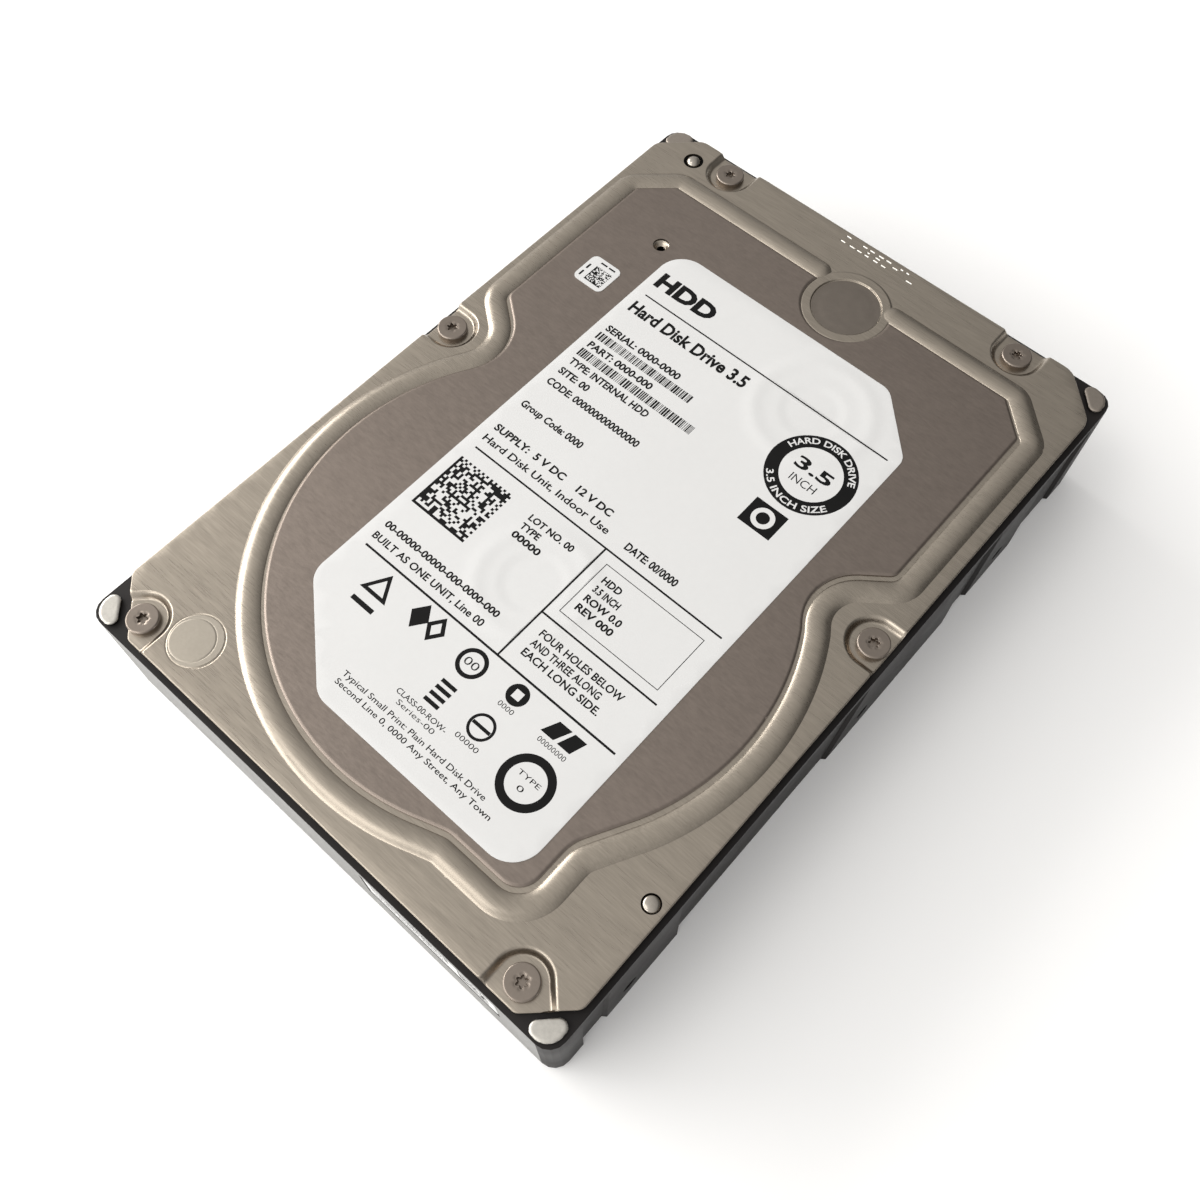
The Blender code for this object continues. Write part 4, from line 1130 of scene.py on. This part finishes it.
def build_pins():
    low, high = box_mm("locating_pin")
    wide = 1.38
    angles = np.linspace(0.15, pi / 2, 12)
    dome = [(0.0, high.z)] + [(wide * sin(t), high.z - 1.0 + cos(t)) for t in angles]
    foot = [(wide, low.z + 5.8), (1.2, low.z + 5.6), (1.2, low.z), (0.0, low.z)]
    pin = turned_piece("dome_pin", dome + foot, 48, PIN_AT, "polished_pin")
    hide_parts("locating_pin")
    low, high = box_mm("locating_stud")
    crown = [(0.0, 0.0), (0.5, -0.03), (0.9, -0.1), (1.12, -0.19), (1.27, -0.32), (1.35, -0.5)]
    crown = [(r, high.z + z) for r, z in crown]
    foot = [(1.35, low.z + 5.7), (1.0, low.z + 5.5), (1.0, low.z), (0.0, low.z)]
    stud = turned_piece("flat_stud", crown + foot, 48, STUD_AT, "polished_pin")
    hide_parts("locating_stud")


BOARD_SCREWS = [f"board_screw_{i}" for i in range(1, 5)]
build_screws()
build_pins()
build_board_screws()


# --- circuit board
BOARD_NOTCH_R = 18.2
SCREW_SPOTS = [centre_of(name) for name in BOARD_SCREWS]
TRACK, PAD, FRAME = 1, 2, 3  # what the board's marks are made of
# bundles of printed tracks: way points, number, spacing and width
BUNDLES = (
    (((-8, 40), (-8, 52), (-18, 62), (-18, 64.5)), 7, 0.85, 0.32),
    (((14, 8), (9, 3), (9, -1.2)), 4, 1.6, 0.7),
    (((20, 42), (30, 32), (30, 8), (22, 0)), 6, 0.8, 0.3),
    (((-16, 30), (-28, 30), (-35, 23), (-35, -14)), 5, 0.9, 0.35),
    (((2, 26), (12, 26), (20, 18), (20, 12)), 7, 0.7, 0.28),
    (((10, 52), (10, 58), (8, 60), (8, 64)), 4, 0.9, 0.4),
    (((-30, 36), (-24, 42), (-24, 64.5)), 5, 0.8, 0.3),
    (((36, 44), (36, -12), (32, -18)), 3, 1.0, 0.45),
    (((-38, 36), (-38, 4), (-31, -3), (-24, -3)), 4, 0.8, 0.3),
)
CHIP_SITES = (
    (-15, 22, 1, 38), (8, 40, 18, 50), (14, 6, 23, 15), (26, 54, 36, 62), (-40, 50, -30, 60)
)
VIAS = 150


def board_marks():
    rng = random.Random(21)
    marks = []
    for path, count, pitch, width in BUNDLES:
        for k in range(count):
            shift = (k - (count - 1) / 2) * pitch
            one, two = (offset(path, side - shift, False) for side in (width / 2, -width / 2))
            for a, b, c, d in zip(one, one[1:], two[1:], two):
                marks.append(([a, b, c, d], TRACK))
            for end in (0, -1):
                marks += disc(offset(path, -shift, False)[end], width * 0.85, 8, PAD)
    for x0, y0, x1, y1 in CHIP_SITES:
        marks += frame_marks(x0 - 0.8, y0 - 0.8, x1 + 0.8, y1 + 0.8, 0.2, FRAME)
        marks += disc((x0 - 1.7, y1 + 0.3), 0.35, 10, FRAME)
    marks += bars(((-41 + 1.27 * i, 65.2, -40.35 + 1.27 * i, 66.9) for i in range(32)), PAD)
    for spot in ((7.7, 67.6), (7.7, 70.1), (10.2, 67.6), (10.2, 70.1)):
        marks += disc(spot, 0.75, 14, PAD)
    for spot in SCREW_SPOTS:
        marks += ring(spot, 1.5, 3.2, 24, PAD)
    marks += bars(((6.1 + 1.6 * i, -2.4, 7.1 + 1.6 * i, -0.6) for i in range(4)), PAD)
    wanted = VIAS
    while wanted:
        x, y = rng.uniform(-41, 41), rng.uniform(-27, 62)
        radius = rng.choice((0.22, 0.22, 0.22, 0.5))
        clear = hypot(x - SPINDLE[0], y - SPINDLE[1]) > 19.6
        clear &= all(hypot(x - p[0], y - p[1]) > 4.2 for p in SCREW_SPOTS)
        if clear:
            marks += disc((x, y), radius, 8, PAD)
            wanted -= 1
    return marks


def build_board():
    low, high = box_mm("circuit_board")
    dip = degrees(asin((SPINDLE[1] - low.y) / BOARD_NOTCH_R))
    notch = arc(SPINDLE, BOARD_NOTCH_R, 180 + dip, -dip, 48)
    edge = [(low.x, low.y)] + notch + [(high.x, low.y), (high.x, high.y), (low.x, high.y)]
    looks = [MAT[slot] for slot in ("green_board", "board_track", "tinned_pad", "board_print")]
    plate = sheet(
        "board_plate", looks, edge, [circle(p, 1.1, 24) for p in SCREW_SPOTS],
        lambda p: np.full(len(p), -low.z), high.z - low.z,
        grid(low.x, low.y, high.x, high.y, 5.0), board_marks(), (0.1,), True,
    )
    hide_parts("circuit_board")


def boxes(name, material, places):
    """Plain blocks given by their two far corners."""
    bm = bmesh.new()
    for x0, y0, z0, x1, y1, z1 in places:
        size = Matrix.Diagonal((x1 - x0, y1 - y0, z1 - z0, 1.0))
        middle = Matrix.Translation(((x0 + x1) / 2, (y0 + y1) / 2, (z0 + z1) / 2))
        bmesh.ops.create_cube(bm, size=1.0, matrix=middle @ size)
    finish_bmesh(name, bm, MAT[material], 30)


def build_contacts():
    """Gold fingers under the connector's two tongues, and the four header pins."""
    left = [-38.0 + 1.27 * i for i in range(15)] + [-11.8 + 1.27 * i for i in range(7)]
    fingers = [(x, 67.6, 4.85, x + 0.7, 72.7, 4.93) for x in left]
    boxes("connector_contacts", "gold_contact", fingers)
    corners = [(x - 0.02, z - 0.02) for x in (7.4, 9.9) for z in (3.0, 5.4)]
    pins = [(x, 70.02, z, x + 0.64, 73.02, z + 0.64) for x, z in corners]
    boxes("header_pins", "gold_contact", pins)


def build_end_sticker():
    """The sticker on the front end, with plain bars and random cells."""
    low, high = box_mm("end_sticker")
    edge = box_outline(low.x, low.z, high.x, high.z, 0.4)
    marks = bar_code(low.x + 1.5, high.x - 9.5, low.z + 4.6, high.z - 1.2, 31)
    marks += text("0000 0000 0000", low.x + 1.5, high.x - 11.0, low.z + 2.6, 1.5, 0.02)
    marks += matrix_code(high.x - 7.6, low.z + 1.6, 6.0, 16, 9)
    spots = grid(low.x, low.z, high.x, high.z, 2.0)
    sticker = paper("end_label", edge, lambda p: -low.y + round_edge(p, edge, 0.04), spots, marks)
    sticker.data.transform(Matrix(((1, 0, 0, 0), (0, 0, -1, 0), (0, 1, 0, 0), (0, 0, 0, 1))))
    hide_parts("end_sticker")


build_board()
build_contacts()
build_end_sticker()


# --- seals
SEAL_RIM = (0.03, 0.06, 0.12)


def build_foil():
    edge = circle(ISLAND, 6.35, 96)
    top = box_mm("rear_foil_seal")[1].z

    def height(points):
        raised = 0.04 * plateau(from_centre(points, ISLAND), 5.4, 1.2)
        return top + raised + round_edge(points, edge, 0.05)

    spots = grid_round(ISLAND, 7, 0.7)
    foil = sheet("island_foil", [MAT["foil_seal"]], edge, [], height, 0.05, spots, (), SEAL_RIM)
    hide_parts("rear_foil_seal")


def build_breather():
    """A round film with a raised disc on it, a little off its centre."""
    edge = circle(BREATHER, 4.5, 96)
    inner = (BREATHER[0] - 0.45, BREATHER[1] - 0.3)
    inner_r = 3.8
    top = box_mm("breather_seal")[1].z - 0.03

    def height(points):
        far = from_centre(points, inner) - inner_r
        step = 0.05 * plateau(far, 0.06, 0.12) - groove(far, 0.0, 0.05, 0.12)
        return top + step + round_edge(points, edge, 0.05)

    fine = grid_round(BREATHER, 5, 0.12)
    near = np.abs(from_centre(fine, inner) - inner_r) < 0.35
    spots = np.concatenate([fine[near], grid_round(BREATHER, 5, 1.2)])
    metal = [MAT["breather_film"]]
    film = sheet("breather_film_disc", metal, edge, [], height, 0.08, spots, (), SEAL_RIM)
    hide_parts("breather_seal")


build_foil()
build_breather()


# --- stage and camera, in metres
WARM_WHITE = (1.0, 0.985, 0.96)
# soft light: where it hangs, its two sides and its power
LIGHTS = {
    "side_strip": ((-0.84, -0.22, 0.44), (1.0, 0.3), 7.5),
    "high_fill": ((-0.3, -0.5, 1.0), (0.5, 0.3), 1.4),
    "front_strip": ((-0.25, -0.85, 0.5), (0.9, 0.3), 3.0),
}
ROOM_BRIGHT_WAY = (-0.62, -0.77, 0.15)
ROOM_WHITE = (1.0, 0.985, 0.965, 1.0)
ROOM_LEAST = 0.16

# the photograph's viewing angle, fitted to the drive's own edges; angles in degrees
CAMERA_AZIMUTH = 41.3919
CAMERA_ELEVATION = 63.0316
CAMERA_ROLL = 0.4424
CAMERA_AIM = (1.294, -8.007, 0.0)  # millimetres
CAMERA_FAR = 0.219491
FOCAL_TO_WIDTH = 1192.34 / 1200.0


def build_stage():
    mesh = bpy.data.meshes.new("floor")
    bm = bmesh.new()
    bmesh.ops.create_grid(bm, x_segments=4, y_segments=4, size=3.0)
    bm.to_mesh(mesh)
    bm.free()
    floor = add("floor", mesh)
    floor.location = (0, 0, -0.0002)
    glow = {"Emission_Color": (1, 1, 1, 1), "Emission_Strength": 0.06}
    mesh.materials.append(make_material("floor_look", (0.93, 0.93, 0.93), 0.0, 0.9, **glow))


def build_lights():
    """A room that is brighter at the front left, with three soft lights on the object."""
    world = bpy.data.worlds.new("studio")
    world.use_nodes = True
    coord = add_node(world, "TexCoord")
    towards = add_node(world, "VectorMath", operation="DOT_PRODUCT")
    towards.inputs[1].default_value = Vector(ROOM_BRIGHT_WAY).normalized()
    link(world, coord.outputs["Generated"], towards.inputs[0])
    facing = ramp(world, towards.outputs["Value"], -0.62, 0.88, 0.0, 1.0)
    strength = maths(world, "ADD", maths(world, "POWER", facing, 0.6), ROOM_LEAST)
    background = world.node_tree.nodes["Background"]
    background.inputs["Color"].default_value = ROOM_WHITE
    link(world, strength, background.inputs["Strength"])
    bpy.context.scene.world = world
    for name, (at, size, power) in LIGHTS.items():
        data = bpy.data.lights.new(name, "AREA")
        data.shape = "RECTANGLE"
        data.size, data.size_y = size
        data.energy = power
        data.color = WARM_WHITE
        lamp = add(name, data)
        lamp.location = at
        lamp.rotation_mode = "QUATERNION"
        lamp.rotation_quaternion = (-Vector(at)).to_track_quat("-Z", "Y")
    bpy.context.scene.view_settings.view_transform = "Standard"


def build_camera():
    data = bpy.data.cameras.new("camera")
    data.lens = data.sensor_width * FOCAL_TO_WIDTH
    data.clip_start, data.clip_end = 0.01, 20.0
    camera = add("camera", data)
    turn = Matrix.Rotation(radians(CAMERA_AZIMUTH), 4, "Z")
    turn @= Matrix.Rotation(radians(90 - CAMERA_ELEVATION), 4, "X")
    turn @= Matrix.Rotation(radians(CAMERA_ROLL), 4, "Z")
    at = Vector(CAMERA_AIM) * MM + turn.col[2].to_3d() * CAMERA_FAR
    camera.matrix_world = Matrix.Translation(at) @ turn
    bpy.context.scene.camera = camera


build_stage()
build_lights()
build_camera()
